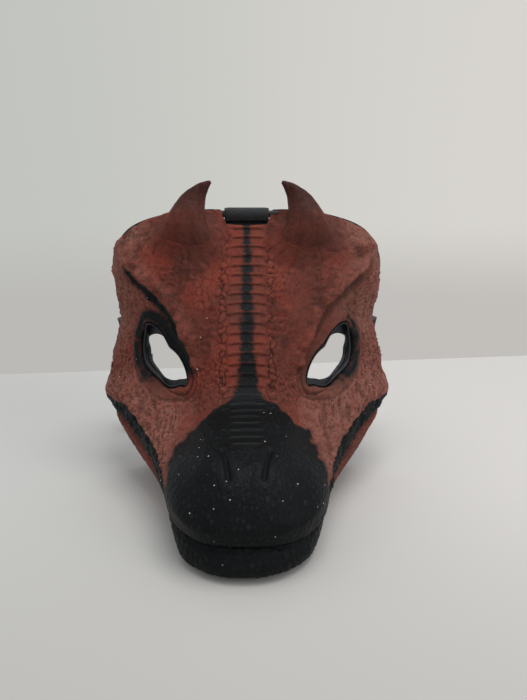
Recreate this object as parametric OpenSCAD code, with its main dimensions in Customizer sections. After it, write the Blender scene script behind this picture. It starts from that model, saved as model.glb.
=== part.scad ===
// Horned dinosaur face mask with a lower jaw that follows the wearer's chin.
// The face is one smooth sheet drawn through a net of points. The shell, the inner frame, the eye rims,
// the pads, the horns' feet and the rows of teeth all take their places from that same sheet.
// +X is the wearer's left, -Y is the way the snout points, +Z is up.

/* [Overall size] */
// Width across the cheeks
mask_w = 222; // [180:2:260]
// Depth from the snout's tip to the rear rim
mask_d = 188; // [156:2:226]
// Height of the top rim above the table
mask_h = 196; // [162:2:232]

/* [Moulded walls] */
// Wall of the upper shell
shell_wall = 2.4; // [1.8:0.1:3]
// Wall of the lower jaw
jaw_wall = 2.4; // [1.8:0.1:3]
// Wall of the inner face frame
frame_wall = 2; // [1.4:0.1:2.6]
// Air between the shell and the frame behind it
frame_gap = 1.6; // [1.4:0.1:2.2]
// Wall of the rims in the eye openings
rim_wall = 1.6; // [1.2:0.1:2.2]
// How far the eye rims reach inward
rim_depth = 9; // [7:0.5:11]

/* [Jaw hinge] */
// Diameter of the hinge pins
pin_d = 4; // [3:0.2:5]
// Diameter of the pins' heads
pin_head_d = 9; // [7:0.5:10]
// Running clearance round a pin
pin_play = 0.05; // [0.02:0.01:0.1]
// Thickness of the jaw's hinge ears
ear_t = 4; // [3:0.5:5]

/* [Horns] */
// How far a horn stands above its foot
horn_h = 39; // [30:1:46]
// Width of a horn where it leaves its foot
horn_w = 29; // [24:1:33]

/* [Soft parts] */
// Thickness of the foam pads
pad_t = 7; // [4:0.5:9]
// Thickness of the chin pad
chin_pad_t = 6; // [4:0.5:8]

/* [Head harness] */
// Width of the webbing straps
strap_w = 25; // [20:1:30]
// Width of the top strap
top_strap_w = 32; // [25:1:34]
// Thickness of the webbing
strap_t = 1.8; // [1.2:0.1:2]
// Diameter of the bar that holds the top strap
bar_d = 5; // [4:0.5:6]

/* [Hidden] */
// The size at which the nets below are drawn.
net_w = 222;
net_d = 188;
net_h = 196;
kx = mask_w / net_w;
ky = mask_d / net_d;
kz = mask_h / net_h;
// The frame's origin lies under the middle of the whole mask with its harness.
middle_y = 33.8;

// Rows run from the upper lip to the rear rim, columns from the midline to the rear end of the cheek.
face_net = [
  [[0,-87,20], [11,-86,20], [23,-82,20], [34,-74,21], [42,-61,23], [47,-42,26], [57,-15,32], [81,24,45], [108,60,56]],
  [[0,-91,33], [12,-90,33], [25,-86,33], [37,-76,34], [44,-62,35], [50,-42,37], [61,-13,43], [86,29,56], [110,64,60]],
  [[0,-72,56], [12,-72,56], [23,-68,54], [34,-60,50], [43,-48,47], [50,-30,48], [63,-2,53], [90,37,63], [111,68,62]],
  [[0,-38,65], [12,-38,65], [22,-37,63], [30,-34,59], [38,-24,55], [48,-6,56], [63,14,62], [91,47,69], [111,72,64]],
  [[0,-6,74], [12,-6,74], [22,-5,73], [29,-3,70], [36,5,67], [49,18,70], [67,34,75], [94,58,75], [111,76,66]],
  [[0,10,100], [13,10,100], [25,12,98], [36,17,93], [44,27,92], [59,38,94], [79,51,90], [99,67,80], [111,80,68]],
  [[0,26,129], [14,26,129], [34,30,130], [56,38,132], [64,47,122], [74,54,114], [87,62,104], [101,73,88], [110,84,70]],
  [[0,46,164], [20,47,164], [53,52,163], [83,60,160], [95,68,150], [98,74,132], [97,78,112], [104,82,91], [110,88,72]],
  [[0,64,194.5], [30,66,196], [64,72,192], [91,82,182], [105,89,162], [106,94,138], [103,97,114], [107,97,93], [110,93,75]]
];
// Rows run from the jaw's upper edge, over its lip, to the inner edge of its floor.
jaw_net = [
  [[0,-86,18], [11,-85,18], [23,-81,18], [33.5,-73,19], [41.5,-60,21], [47,-41,24], [57,-14,30], [80,24,42], [99,50,49]],
  [[0,-91,10], [12,-90,10], [23.5,-85,10], [35,-75,11], [41.5,-61,13], [47.5,-40,16], [58.5,-12,22], [81,23,33], [96,50,40]],
  [[0,-88,3], [11,-87,3], [22,-82,3], [33,-72,3], [39,-57,4], [43.5,-35,4], [51,-7,6], [66,30,9], [78,60,14]],
  [[0,-70,0], [10,-69,0], [19,-65,0], [27,-57,0], [33,-45,0], [38,-25,0], [45,0,0], [55,32,0], [63,64,0]],
  [[0,-36,0], [8,-35,0], [15,-32,0], [20,-27,0], [24,-19,0], [28,-7,0], [34,12,0], [43,38,0], [52,66,0]]
];
last_row = 8;
last_col = 8;
jaw_rows = 4;

// The eye opening: its middle on the net, and how far it reaches from there, every 30 degrees.
eye_row = 5;
eye_col = 5;
eye_reach = [0.88, 0.82, 0.88, 1.0, 0.85, 0.63, 0.9, 1.0, 0.78, 0.82, 1.05, 1.10];
// The notch in the top rim, a little wider than the strap on its bar, and the shallow one in each side.
rim_pitch = 30*kx;
top_notch_col = (top_strap_w/2 + 1.5)/rim_pitch;
top_notch_side = top_notch_col + 0.04;
top_notch = 0.3;
side_notch_col = 5.8;
side_notch = 0.22;

// Free space between pieces that are seated on each other.
seat_gap = 0.25;
// Flat pieces and screw heads stand this far off a curved wall.
curve_gap = 0.6;
// Straps, pads and other soft pieces stand this far off.
soft_gap = 0.3;

// ---- drawing on a net ----

function spline(a, b, c, d, t) =
  ((2*b) + (c - a)*t + (2*a - 5*b + 4*c - d)*t*t + (3*b - a - 3*c + d)*t*t*t) / 2;
// A net's point, mirrored past the midline and carried straight on past its other edges.
function net_at(net, i, j) =
  let (n = len(net) - 1, m = len(net[0]) - 1)
  i < 0 ? 2*net_at(net, 0, j) - net_at(net, 1, j) :
  i > n ? 2*net_at(net, n, j) - net_at(net, n - 1, j) :
  j < 0 ? [-net[i][-j].x, net[i][-j].y, net[i][-j].z] :
  j > m ? 2*net[i][m] - net[i][m - 1] : net[i][j];
function half_patch(net, r, c) =
  let (i = max(0, min(floor(r), len(net) - 2)), j = min(floor(c), len(net[0]) - 2),
       rows = [for (k = [-1 : 2])
         spline(net_at(net, i + k, j - 1), net_at(net, i + k, j), net_at(net, i + k, j + 1),
                net_at(net, i + k, j + 2), c - j)])
  spline(rows[0], rows[1], rows[2], rows[3], r - i);
function placed(p) = [p.x*kx, p.y*ky - middle_y*ky, max(p.z, 0)*kz];
function patch(net, r, c) =
  let (p = placed(half_patch(net, r, abs(c)))) [c < 0 ? -p.x : p.x, p.y, p.z];
function face(r, c) = patch(face_net, r, c);
function unit(v) = v / norm(v);
function net_normal(net, r, c, e = 0.04) =
  unit(cross(patch(net, r, c + e) - patch(net, r, c - e), patch(net, r + e, c) - patch(net, r - e, c)));
function face_normal(r, c) = net_normal(face_net, r, c);
// A point at a depth below the sheet.
function under(r, c, depth) = face(r, c) - face_normal(r, c)*depth;
// The same on the jaw, whose rows run downward, so that its normal is turned.
function jaw_under(q, c, depth) = patch(jaw_net, q, c) + net_normal(jaw_net, q, c)*depth;

function smooth(t) = let (s = max(0, min(1, t))) s*s*(3 - 2*s);
function reach(a) =
  let (n = len(eye_reach), s = (a < 0 ? a + 360 : a) * n / 360, k = floor(s))
  spline(eye_reach[(k + n - 1) % n], eye_reach[k % n], eye_reach[(k + 1) % n], eye_reach[(k + 2) % n], s - k);
// Bends the grid so that the square of cells round the eye takes the opening's outline.
function eye_bend(r, c, grow = 1) =
  let (dr = r - eye_row, dc = abs(c) - eye_col, q = max(abs(dr), abs(dc)))
  q >= 2 || q == 0 ? [r, c] :
  let (a = atan2(dr, dc), square = 1 / max(abs(cos(a)), abs(sin(a))),
       k = 1 + smooth(2 - q) * (reach(a)*grow/square - 1), s = c < 0 ? -1 : 1)
  [eye_row + dr*k, s*(eye_col + dc*k)];
// The shell's own edge, row 8 but for the notches.
function rim_row(c) =
  last_row - (abs(c) <= top_notch_col ? top_notch : 0)
  - side_notch * smooth(1 - abs(abs(c) - side_notch_col)/0.9);
function shell_rc(r, c) =
  r <= last_row - 1 ? eye_bend(r, c) :
  [last_row - 1 + (r - last_row + 1)*(rim_row(c) - last_row + 1), c];

function both_sides(cols) = [for (i = [len(cols) - 1 : -1 : 1]) -cols[i], each cols];
function steps(from, to, n) = [for (i = [0 : n]) from + (to - from)*i/n];
// Outward normals of a grid of points, from each point's neighbours.
function grid_normals(g) =
  let (n = len(g) - 1, m = len(g[0]) - 1)
  [for (i = [0 : n]) [for (j = [0 : m])
    unit(cross(g[i][min(j + 1, m)] - g[i][max(j - 1, 0)], g[min(i + 1, n)][j] - g[max(i - 1, 0)][j]))]];
function sunk(g, depth) =
  let (v = grid_normals(g)) [for (i = [0 : len(g) - 1]) [for (j = [0 : len(g[0]) - 1]) g[i][j] - v[i][j]*depth]];

// A closed sheet between two grids. Cells in the holes are left out and walled round.
module sheet_solid(outer, inner, is_hole = function (i, j) false) {
  n = len(outer) - 1;
  m = len(outer[0]) - 1;
  w = m + 1;
  o = (n + 1)*w;
  kept = function (i, j) i >= 0 && i < n && j >= 0 && j < m && !is_hole(i, j);
  faces = [for (i = [0 : n - 1]) for (j = [0 : m - 1]) if (kept(i, j))
    let (a = i*w + j, b = a + 1, c = b + w, d = a + w) each concat(
      [[a, d, c], [a, c, b], [o + a, o + c, o + d], [o + a, o + b, o + c]],
      kept(i, j - 1) ? [] : [[d, a, o + a], [d, o + a, o + d]],
      kept(i, j + 1) ? [] : [[b, c, o + c], [b, o + c, o + b]],
      kept(i - 1, j) ? [] : [[a, b, o + b], [a, o + b, o + a]],
      kept(i + 1, j) ? [] : [[c, d, o + d], [c, o + d, o + c]])];
  polyhedron(points = concat([for (row = outer) each row], [for (row = inner) each row]), faces = faces);
}
// A closed skin over rings of points, from the first ring's end to the last's.
module ring_solid(rings) {
  k = len(rings[0]);
  n = len(rings) - 1;
  sides = [for (i = [0 : n - 1]) for (j = [0 : k - 1])
    let (a = i*k + j, b = i*k + (j + 1) % k, c = b + k, d = a + k) each [[a, d, c], [a, c, b]]];
  polyhedron(points = [for (ring = rings) each ring],
    faces = concat([[for (j = [0 : k - 1]) j]], sides, [[for (j = [k - 1 : -1 : 0]) n*k + j]]));
}
// The same, closed by a point at each end.
module spun_solid(from, rings, to) {
  k = len(rings[0]);
  n = len(rings) - 1;
  last = k*(n + 1) + 1;
  sides = [for (i = [0 : n - 1]) for (j = [0 : k - 1])
    let (a = 1 + i*k + j, b = 1 + i*k + (j + 1) % k, c = b + k, d = a + k) each [[a, d, c], [a, c, b]]];
  polyhedron(points = concat([from], [for (ring = rings) each ring], [to]),
    faces = concat(sides, [for (j = [0 : k - 1]) [0, 1 + j, 1 + (j + 1) % k]],
      [for (j = [0 : k - 1]) [last, 1 + n*k + (j + 1) % k, 1 + n*k + j]]));
}
// A skin over rings that run round in a circle.
module loop_solid(rings) {
  k = len(rings[0]);
  n = len(rings);
  polyhedron(points = [for (ring = rings) each ring],
    faces = [for (i = [0 : n - 1]) for (j = [0 : k - 1])
      let (m = (i + 1) % n, a = i*k + j, b = i*k + (j + 1) % k, c = m*k + (j + 1) % k, d = m*k + j)
      each [[a, d, c], [a, c, b]]]);
}
// Turns +Z to a direction.
module aim(at, along) {
  v = unit(along);
  translate(at) rotate([0, acos(v.z), atan2(v.y, v.x)]) children();
}
module both() { children(); mirror([1, 0, 0]) children(); }

// ---- colours ----
red_paint = [0.42, 0.16, 0.12];
black_plastic = [0.08, 0.085, 0.095];
horn_paint = [0.36, 0.17, 0.14];
steel = [0.7, 0.7, 0.72];
ivory = [0.85, 0.8, 0.66];
foam_grey = [0.2, 0.2, 0.21];
webbing = [0.07, 0.07, 0.075];
elastic = [0.75, 0.68, 0.52];

// ---- places shared by several pieces ----
frame_depth = shell_wall + frame_gap;
frame_inside = frame_depth + frame_wall;
flange_gap = 0.4;
flange_t = frame_gap - 2*flange_gap;
eye_clear = 0.5;
flange_reach = 1.8;

screw_r = 1.5;
hole_r = 1.7;
screw_head_r = 3;
screw_head_t = 1.6;
skin_left = 0.5;
frame_screws_at = [[7.35, 4.2], [4.75, 2.1], [6.1, 1.9]];
horn_at = [7.45, 1.55];
horn_screw_at = [7.38, 1.55];
horn_screw_bite = 6;

hinge = placed([96, 78, 69]);
boss_r = pin_d/2 + 3.5;
boss_end = 106.5*kx;
ear_r = pin_d/2 + 4.5;
ear_x = hinge.x - seat_gap - ear_t;

shell_post = placed([72, 46, 64]);
jaw_post = placed([72, 30, 34]);
shell_post_l = 22*kx;
jaw_post_l = 11*kx;
post_r = 1.8;
band_t = 1.2;
band_w = 4;

bar = placed([0, 64.2, 192.2]);
bar_l = top_strap_w + 13;
eyelet_r = bar_d/2 + soft_gap;

loop_at = [7.6, side_notch_col];
loop_bar_r = 2;
loop_t = 2;
loop_reach = 11;
loop_tab_w = 16;
loop_arm = 3;
loop_w = strap_w + 2*1.2;

chin_at = placed([0, 52, 0]);
chin_r = 40;
chin_wall = 2;
chin_top = 30;
chin_plate_t = 3;
chin_screws_at = [[3.45, 7.15], [3.5, 7.85]];

patch_t = 1.8;
patch_y = placed([0, 138, 0]).y;
table_gap = 0.2;
sewn_gap = 0.25;

// ---- upper shell ----
shell_cols = both_sides(concat([0, 0.4, top_notch_col, top_notch_side], steps(1, last_col, 21)));
shell_rows = concat(steps(0, last_row - 1, 21), [7.3, 7.6, last_row]);
function eye_cell(r, c) = abs(r - eye_row) < 1 && abs(abs(c) - eye_col) < 1;
function mid(list, i) = (list[i] + list[i + 1]) / 2;

module frame_screw_holes() {
  both() for (s = concat(frame_screws_at, [horn_screw_at]))
    aim(under(s[0], s[1], frame_inside + 2), face_normal(s[0], s[1]))
      cylinder(r = hole_r, h = frame_inside + (s == horn_screw_at ? 4 : 2 - skin_left), $fn = 32);
}
module x_rod(at, r, to) {
  translate(at) rotate([0, 90, 0]) cylinder(r = r, h = to - at.x, $fn = 48);
}
module upper_shell() {
  outer = [for (r = shell_rows) [for (c = shell_cols) let (q = shell_rc(r, c)) face(q[0], q[1])]];
  color(red_paint) difference() {
    union() {
      sheet_solid(outer, sunk(outer, shell_wall), function (i, j) eye_cell(mid(shell_rows, i), mid(shell_cols, j)));
      both() {
        x_rod(hinge, boss_r, boss_end);
        x_rod(shell_post, post_r, shell_post.x + shell_post_l);
      }
    }
    both() x_rod(hinge - [1, 0, 0], pin_d/2 + 0.02, hinge.x + pin_bite);
    x_rod([-bar_l/2 - 0.2, bar.y, bar.z], bar_d/2 + 0.15, bar_l/2 + 0.2);
    frame_screw_holes();
    both() loop_screw_place() cylinder(r = hole_r, h = loop_screw_l + 0.3, $fn = 32);
  }
}

// ---- inner frame ----
frame_cols = both_sides(concat(steps(0, 6, 15), [6.3]));
frame_rows = concat([3.5, 3.75], steps(4, 6, 6), [6.4, 6.8, 7.2, 7.6]);
frame_grow = 1.12;
// The frame ends lower at the sides, where the strap loops are fixed.
function frame_top(c) = 7.6 - 0.6*smooth((abs(c) - 4.2)/0.8);
function frame_rc(r, c) =
  r <= 6.8 ? eye_bend(r, c, frame_grow) : [6.8 + (r - 6.8)*(frame_top(c) - 6.8)/0.8, c];
module face_frame() {
  base = [for (r = frame_rows) [for (c = frame_cols) let (q = frame_rc(r, c)) face(q[0], q[1])]];
  color(black_plastic) difference() {
    sheet_solid(sunk(base, frame_depth), sunk(base, frame_inside),
      function (i, j) eye_cell(mid(frame_rows, i), mid(frame_cols, j)));
    frame_screw_holes();
  }
}

// ---- eye rims ----
function eye_edge(a) =
  let (square = 1 / max(abs(cos(a)), abs(sin(a))),
       q = eye_bend(eye_row + sin(a)*square, eye_col + cos(a)*square))
  [face(q[0], q[1]), face_normal(q[0], q[1])];
module eye_rim() {
  middle = face(eye_row, eye_col);
  flange = shell_wall + flange_gap;
  flange_back = flange + flange_t;
  profile = function (depth) [
    [eye_clear, flange], [-flange_reach, flange], [-flange_reach, flange_back], [eye_clear, flange_back],
    [eye_clear, depth], [eye_clear + rim_wall, depth], [eye_clear + rim_wall, -0.3], [eye_clear, -0.3]];
  // Full depth toward the nose, next to none toward the temple, where the wall would shut the view.
  rings = [for (a = [0 : 12 : 348])
    let (e = eye_edge(a), inward = unit(middle - e[0]),
         depth = flange_back + (rim_depth - flange_back)*(1 - 0.9*smooth(0.5 + cos(a))))
    [for (p = profile(depth)) e[0] + inward*p[0] - e[1]*p[1]]];
  color(black_plastic) loop_solid(rings);
}

// ---- horns ----
// A horn's axis above its foot: sideways, back and up as shares of its height, and its width and depth.
horn_axis = [[0, -0.13, 0.28, 1, 0.62], [-0.02, -0.06, 0.48, 0.86, 0.72], [-0.09, 0.02, 0.68, 0.68, 0.66],
  [-0.2, 0.03, 0.84, 0.48, 0.48], [-0.33, 0, 0.96, 0.28, 0.28]];
horn_sides = 20;
module horn() {
  foot = face(horn_at[0], horn_at[1]) - [0, 2, 4];
  lift = 0.1;
  foot_ring = function (k) [for (i = [0 : horn_sides - 1])
    let (a = i*360/horn_sides, r = horn_at[0] + 0.36*k*sin(a), c = horn_at[1] + 0.5*k*cos(a)*horn_w/29)
    face(r, c) + face_normal(r, c)*lift];
  rings = concat(
    [foot_ring(0.5), foot_ring(1)],
    [for (h = horn_axis) let (lean = 60*max(0, h[2] - 0.6)) [for (i = [0 : horn_sides - 1])
      let (a = i*360/horn_sides, u = [cos(lean), 0, sin(lean)])
      foot + [h[0], h[1], h[2]]*horn_h + u*cos(a)*h[3]*horn_w/2 + [0, 1, 0]*sin(a)*h[4]*horn_w/2.4]]);
  color(horn_paint) difference() {
    spun_solid(under(horn_at[0], horn_at[1], -lift), rings, foot + [-0.44, -0.03, 1.03]*horn_h);
    aim(under(horn_screw_at[0], horn_screw_at[1], 0), face_normal(horn_screw_at[0], horn_screw_at[1]))
      cylinder(r = hole_r, h = horn_screw_bite + 1, $fn = 32);
  }
}

// ---- screws ----
module screw(l) {
  translate([0, 0, -screw_head_t]) cylinder(r = screw_head_r, h = screw_head_t, $fn = 32);
  cylinder(r = screw_r, h = l, $fn = 32);
}
module screw_through_frame(s, l) {
  aim(under(s[0], s[1], frame_inside + curve_gap), face_normal(s[0], s[1])) screw(l);
}
module horn_screws() {
  color(steel) both() screw_through_frame(horn_screw_at, frame_inside + curve_gap + horn_screw_bite);
}
module frame_screws() {
  color(steel) both() for (s = frame_screws_at) screw_through_frame(s, frame_inside + curve_gap - skin_left - 0.3);
}

// ---- teeth ----
gum_cols = steps(-5.4, 5.4, 36);
tooth_pitch = 0.45;
tooth_r = 1.9;
tooth_l = 9;
tooth_in = 4;
gum_gap = 0.5;
module upper_gum(rows, thick) {
  grid = [for (r = rows) [for (c = gum_cols) face(r, c)]];
  sheet_solid(sunk(grid, shell_wall + gum_gap), sunk(grid, shell_wall + gum_gap + thick));
}
module lower_gum(rows, thick) {
  grid = [for (q = rows) [for (c = gum_cols) patch(jaw_net, q, c)]];
  sheet_solid(sunk(grid, -jaw_wall - gum_gap - thick), sunk(grid, -jaw_wall - gum_gap));
}
module upper_teeth() {
  color(ivory) {
    upper_gum([0.15, 0.4, 0.65], tooth_in + 1.5);
    for (k = [-11 : 11])
      translate(under(0.3, k*tooth_pitch, shell_wall + tooth_in) + [0, 0, 1 - tooth_l])
        cylinder(r1 = 0.3, r2 = tooth_r, h = tooth_l, $fn = 20);
  }
}
module lower_teeth() {
  inset = jaw_wall + 2*tooth_in + 2.2;
  color(ivory) {
    lower_gum([0.95, 1.2, 1.45], inset + tooth_r - jaw_wall - gum_gap);
    for (k = [-11 : 10])
      translate(jaw_under(1.1, (k + 0.5)*tooth_pitch, inset)) cylinder(r1 = tooth_r, r2 = 0.3, h = tooth_l, $fn = 20);
  }
}

// ---- pads ----
module pad(rows, cols) {
  grid = [for (r = rows) [for (c = cols) face(r, c)]];
  color(foam_grey) sheet_solid(sunk(grid, frame_inside + curve_gap), sunk(grid, frame_inside + curve_gap + pad_t));
}
module forehead_pad() { pad(steps(6.45, 7.0, 3), steps(-1.5, 1.5, 8)); }
module nose_pad() { pad(steps(4.25, 4.6, 2), steps(-1.5, 1.5, 6)); }
module temple_pad() { pad(steps(6.5, 6.95, 3), steps(4.6, 5.9, 4)); }

// ---- jaw hinge ----
pin_bite = 6;
pin_head_t = 1.5;
module hinge_pin() {
  color(steel) {
    x_rod([ear_x - seat_gap - pin_head_t, hinge.y, hinge.z], pin_head_d/2, ear_x - seat_gap);
    x_rod([ear_x - seat_gap - pin_head_t, hinge.y, hinge.z], pin_d/2, hinge.x + pin_bite - 0.3);
  }
}
module jaw_ear() {
  // Outline in the Y-Z plane: a neck from the jaw's wall to the round end that carries the bore.
  neck = [placed([0, 44, 47.5]), placed([0, 44, 37]), placed([0, 53, 36]), hinge + [0, ear_r*0.72, -ear_r*0.69],
    hinge + [0, -ear_r*0.72, ear_r*0.69]];
  multmatrix([[0, 0, 1, ear_x], [1, 0, 0, 0], [0, 1, 0, 0], [0, 0, 0, 1]]) linear_extrude(ear_t) {
    polygon([for (p = neck) [p.y, p.z]]);
    translate([hinge.y, hinge.z]) circle(r = ear_r, $fn = 48);
  }
}

// ---- lower jaw ----
jaw_cols = both_sides(steps(0, last_col, 24));
jaw_steps = steps(0, jaw_rows, 12);
module lower_jaw() {
  outer = [for (q = jaw_steps) [for (c = jaw_cols) patch(jaw_net, q, c)]];
  color(black_plastic) difference() {
    union() {
      sheet_solid(sunk(outer, -jaw_wall), outer);
      both() {
        jaw_ear();
        x_rod(jaw_post, post_r, jaw_post.x + jaw_post_l);
      }
    }
    both() {
      x_rod([ear_x - 1, hinge.y, hinge.z], pin_d/2 + pin_play, hinge.x);
      for (s = chin_screws_at) chin_screw_place(s) cylinder(r = hole_r, h = 4 + jaw_wall - skin_left, $fn = 32);
    }
  }
}

// ---- chin rest ----
module chin_screw_place(s) {
  p = patch(jaw_net, s[0], s[1]);
  translate([p.x, p.y, jaw_wall + 4]) mirror([0, 0, 1]) children();
}
module chin_bowl(outer, wall, top, back) {
  intersection() {
    difference() {
      sphere(r = outer, $fn = 64);
      sphere(r = outer - wall, $fn = 64);
    }
    translate([-outer, -outer, -outer]) cube([2*outer, outer + back, top]);
  }
}
chin_lift = jaw_wall + seat_gap;
chin_middle = [0, chin_at.y, chin_lift + chin_r + 1];
module chin_cup() {
  ends = [for (s = chin_screws_at) patch(jaw_net, s[0], s[1])];
  front = ends[0];
  rear = ends[1];
  color(black_plastic) difference() {
    union() {
      translate(chin_middle) chin_bowl(chin_r, chin_wall, chin_top - chin_lift, 11);
      translate([0, 0, chin_lift]) linear_extrude(chin_plate_t) polygon([
        [-front.x - 4, front.y - 5], [front.x + 4, front.y - 5], [rear.x + 4, rear.y + 2],
        [rear.x, rear.y + 5], [-rear.x, rear.y + 5], [-rear.x - 4, rear.y + 2]]);
    }
    translate(chin_middle) sphere(r = chin_r - chin_wall, $fn = 64);
    both() for (s = chin_screws_at) chin_screw_place(s) cylinder(r = hole_r, h = 9, $fn = 32);
  }
}
module chin_pad() {
  color(foam_grey) translate(chin_middle)
    chin_bowl(chin_r - chin_wall - soft_gap, chin_pad_t, chin_top - chin_lift - 1, 10);
}
module chin_screws() {
  color(steel) both() for (s = chin_screws_at) chin_screw_place(s)
    translate([0, 0, 4 - chin_plate_t - 2*seat_gap]) screw(chin_plate_t + 2*seat_gap + jaw_wall - skin_left - 0.3);
}

// ---- elastic bands that close the jaw ----
module jaw_elastic() {
  a = [shell_post.y, shell_post.z];
  b = [jaw_post.y, jaw_post.z];
  inside = post_r + 0.2;
  color(elastic) translate([shell_post.x + 1, 0, 0])
    multmatrix([[0, 0, 1, 0], [1, 0, 0, 0], [0, 1, 0, 0], [0, 0, 0, 1]]) linear_extrude(band_w) difference() {
      hull() for (p = [a, b]) translate(p) circle(r = inside + band_t, $fn = 24);
      hull() for (p = [a, b]) translate(p) circle(r = inside, $fn = 24);
    }
}

// ---- strap hardware ----
module strap_bar() {
  color(black_plastic) x_rod([-bar_l/2, bar.y, bar.z], bar_d/2, bar_l/2);
}
// Puts its children on the shell's inner face beside the side notch: X down, Y rearward, Z outward.
module loop_place() {
  aim(under(loop_at[0], loop_at[1], shell_wall + curve_gap), face_normal(loop_at[0], loop_at[1])) children();
}
loop_screw_l = shell_wall + loop_t + curve_gap + seat_gap - skin_left - 0.3;
module loop_screw_place() {
  loop_place() translate([0, -4, -loop_t - seat_gap]) children();
}
module side_loop() {
  half = loop_w/2 + loop_arm;
  color(black_plastic) loop_place() difference() {
    union() {
      translate([-loop_tab_w/2, -9, -loop_t]) cube([loop_tab_w, 13, loop_t]);
      translate([-half, 3.5, -loop_t]) cube([2*half, 2.5, loop_t]);
      for (x = [-half, half - loop_arm]) translate([x, 3.5, -loop_t]) cube([loop_arm, loop_reach - 3.5, loop_t]);
      translate([-half, loop_reach, -loop_t/2]) rotate([0, 90, 0]) cylinder(r = loop_bar_r, h = 2*half, $fn = 32);
    }
    translate([0, -4, -loop_t - 1]) cylinder(r = hole_r, h = loop_t + 2, $fn = 32);
  }
}
module loop_screws() {
  color(steel) both() loop_screw_place() screw(loop_screw_l);
}

// ---- webbing ----
// A flat strip through the points of a route; each entry is a point and the way the strip's width runs.
module strip(route, w) {
  n = len(route) - 1;
  rings = [for (i = [0 : n])
    let (along = unit(route[min(i + 1, n)][0] - route[max(i - 1, 0)][0]),
         across = unit(route[i][1] - along*(route[i][1]*along)), up = cross(along, across), p = route[i][0])
    [p - across*w/2 - up*strap_t/2, p + across*w/2 - up*strap_t/2,
     p + across*w/2 + up*strap_t/2, p - across*w/2 + up*strap_t/2]];
  ring_solid(rings);
}
side_strap_z = table_gap + patch_t + sewn_gap + strap_t/2;
top_strap_z = side_strap_z + strap_t + sewn_gap;
// Where each strap hangs straight, so that its slider can travel.
top_run = placed([0, 74, 120]);
side_run = placed([102, 138, 66]);
slider_travel = 18;
loop_out = face_normal(loop_at[0], loop_at[1]);
loop_back = unit([-loop_out.y, loop_out.x, 0]);
loop_up = cross(loop_out, loop_back);
function loop_point(y, z) =
  under(loop_at[0], loop_at[1], shell_wall + curve_gap + loop_t/2) + loop_back*y + loop_out*z;
eyelet_w = strap_w;
side_start = loop_point(loop_reach, -loop_bar_r - soft_gap - strap_t/2);
module strap_side() {
  s = side_start;
  p = side_run;
  down = [0, 0, -1];
  route = [
    [s, loop_up], [[s.x + 1, s.y + 7, s.z - 0.5], loop_up], [[s.x + 2, s.y + 15, s.z - 3], [-0.5, 0, 0.87]],
    [[p.x, p.y - 8, s.z - 9], [-0.94, 0.1, 0.34]], [[p.x, p.y - 2, s.z - 18], [-1, 0, 0]],
    [[p.x, p.y, p.z + slider_travel + 9], [-1, 0, 0]], [[p.x, p.y, p.z - slider_travel - 9], [-1, 0, 0]],
    [[p.x - 1, p.y, p.z - 36], [-0.87, 0.5, 0]], [[p.x - 3, p.y, p.z - 44], [-0.5, 0.87, 0]],
    [[p.x - 7, patch_y, side_strap_z + 12], [0, 1, 0]], [[p.x - 13, patch_y, side_strap_z + 5], [0, 1, 0]],
    [[p.x - 22, patch_y, side_strap_z + 1.3], [0, 1, 0]], [[p.x - 34, patch_y, side_strap_z], [0, 1, 0]],
    [[22, patch_y, side_strap_z], [0, 1, 0]]];
  color(webbing) {
    strip(route, strap_w);
    loop_place() translate([-eyelet_w/2, loop_reach, -loop_t/2]) rotate([0, 90, 0])
      eyelet(loop_bar_r + soft_gap, eyelet_w);
  }
}
module eyelet(inside, l) {
  difference() {
    cylinder(r = inside + strap_t, h = l, $fn = 48);
    translate([0, 0, -1]) cylinder(r = inside, h = l + 2, $fn = 48);
  }
}
module strap_top() {
  p = top_run;
  start = bar + [0, eyelet_r + strap_t/2, 0];
  x = [1, 0, 0];
  route = [
    [start, x], [start + [0, 0.2, -5], x], [start + [0, 2, -12], x], [[0, p.y - 1, bar.z - 24], x],
    [[0, p.y, p.z + slider_travel + 12], x], [[0, p.y, p.z - slider_travel - 12], x],
    [[0, p.y + 2, 60*kz], x], [[0, p.y + 6, 40*kz], x], [[0, p.y + 13, 24*kz], x],
    [[0, p.y + 23, 12.5*kz], x], [[0, p.y + 35, top_strap_z + 1.2], x], [[0, p.y + 47, top_strap_z], x],
    [[0, patch_y + 14, top_strap_z], x]];
  color(webbing) {
    strip(route, top_strap_w);
    translate([-top_strap_w/2, bar.y, bar.z]) rotate([0, 90, 0]) eyelet(eyelet_r, top_strap_w);
  }
}
module slider(at, w) {
  gap = 0.4;
  wall = 2;
  h = 12;
  color(black_plastic) translate(at) difference() {
    cube([w + 2*gap + 2*wall, strap_t + 2*gap + 2*wall, h], center = true);
    cube([w + 2*gap, strap_t + 2*gap, h + 2], center = true);
  }
}
module strap_patch() {
  color(webbing) translate([-30, patch_y - 21, table_gap]) cube([60, 42, patch_t]);
}

upper_shell();
face_frame();
eye_rim();  // eye_rim_left
mirror([1, 0, 0]) eye_rim();  // eye_rim_right
horn();  // horn_left
mirror([1, 0, 0]) horn();  // horn_right
horn_screws();
frame_screws();
upper_teeth();
forehead_pad();
nose_pad();
temple_pad();  // temple_pad_left
mirror([1, 0, 0]) temple_pad();  // temple_pad_right
hinge_pin();  // hinge_pin_left
mirror([1, 0, 0]) hinge_pin();  // hinge_pin_right
lower_jaw();
lower_teeth();
chin_cup();
chin_pad();
chin_screws();
jaw_elastic();  // jaw_elastic_left
mirror([1, 0, 0]) jaw_elastic();  // jaw_elastic_right
strap_bar();
side_loop();  // side_loop_left
mirror([1, 0, 0]) side_loop();  // side_loop_right
loop_screws();
strap_top();
strap_side();  // strap_left
mirror([1, 0, 0]) strap_side();  // strap_right
slider(top_run, top_strap_w);  // slider_top
slider(side_run, strap_w);  // slider_left
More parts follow.
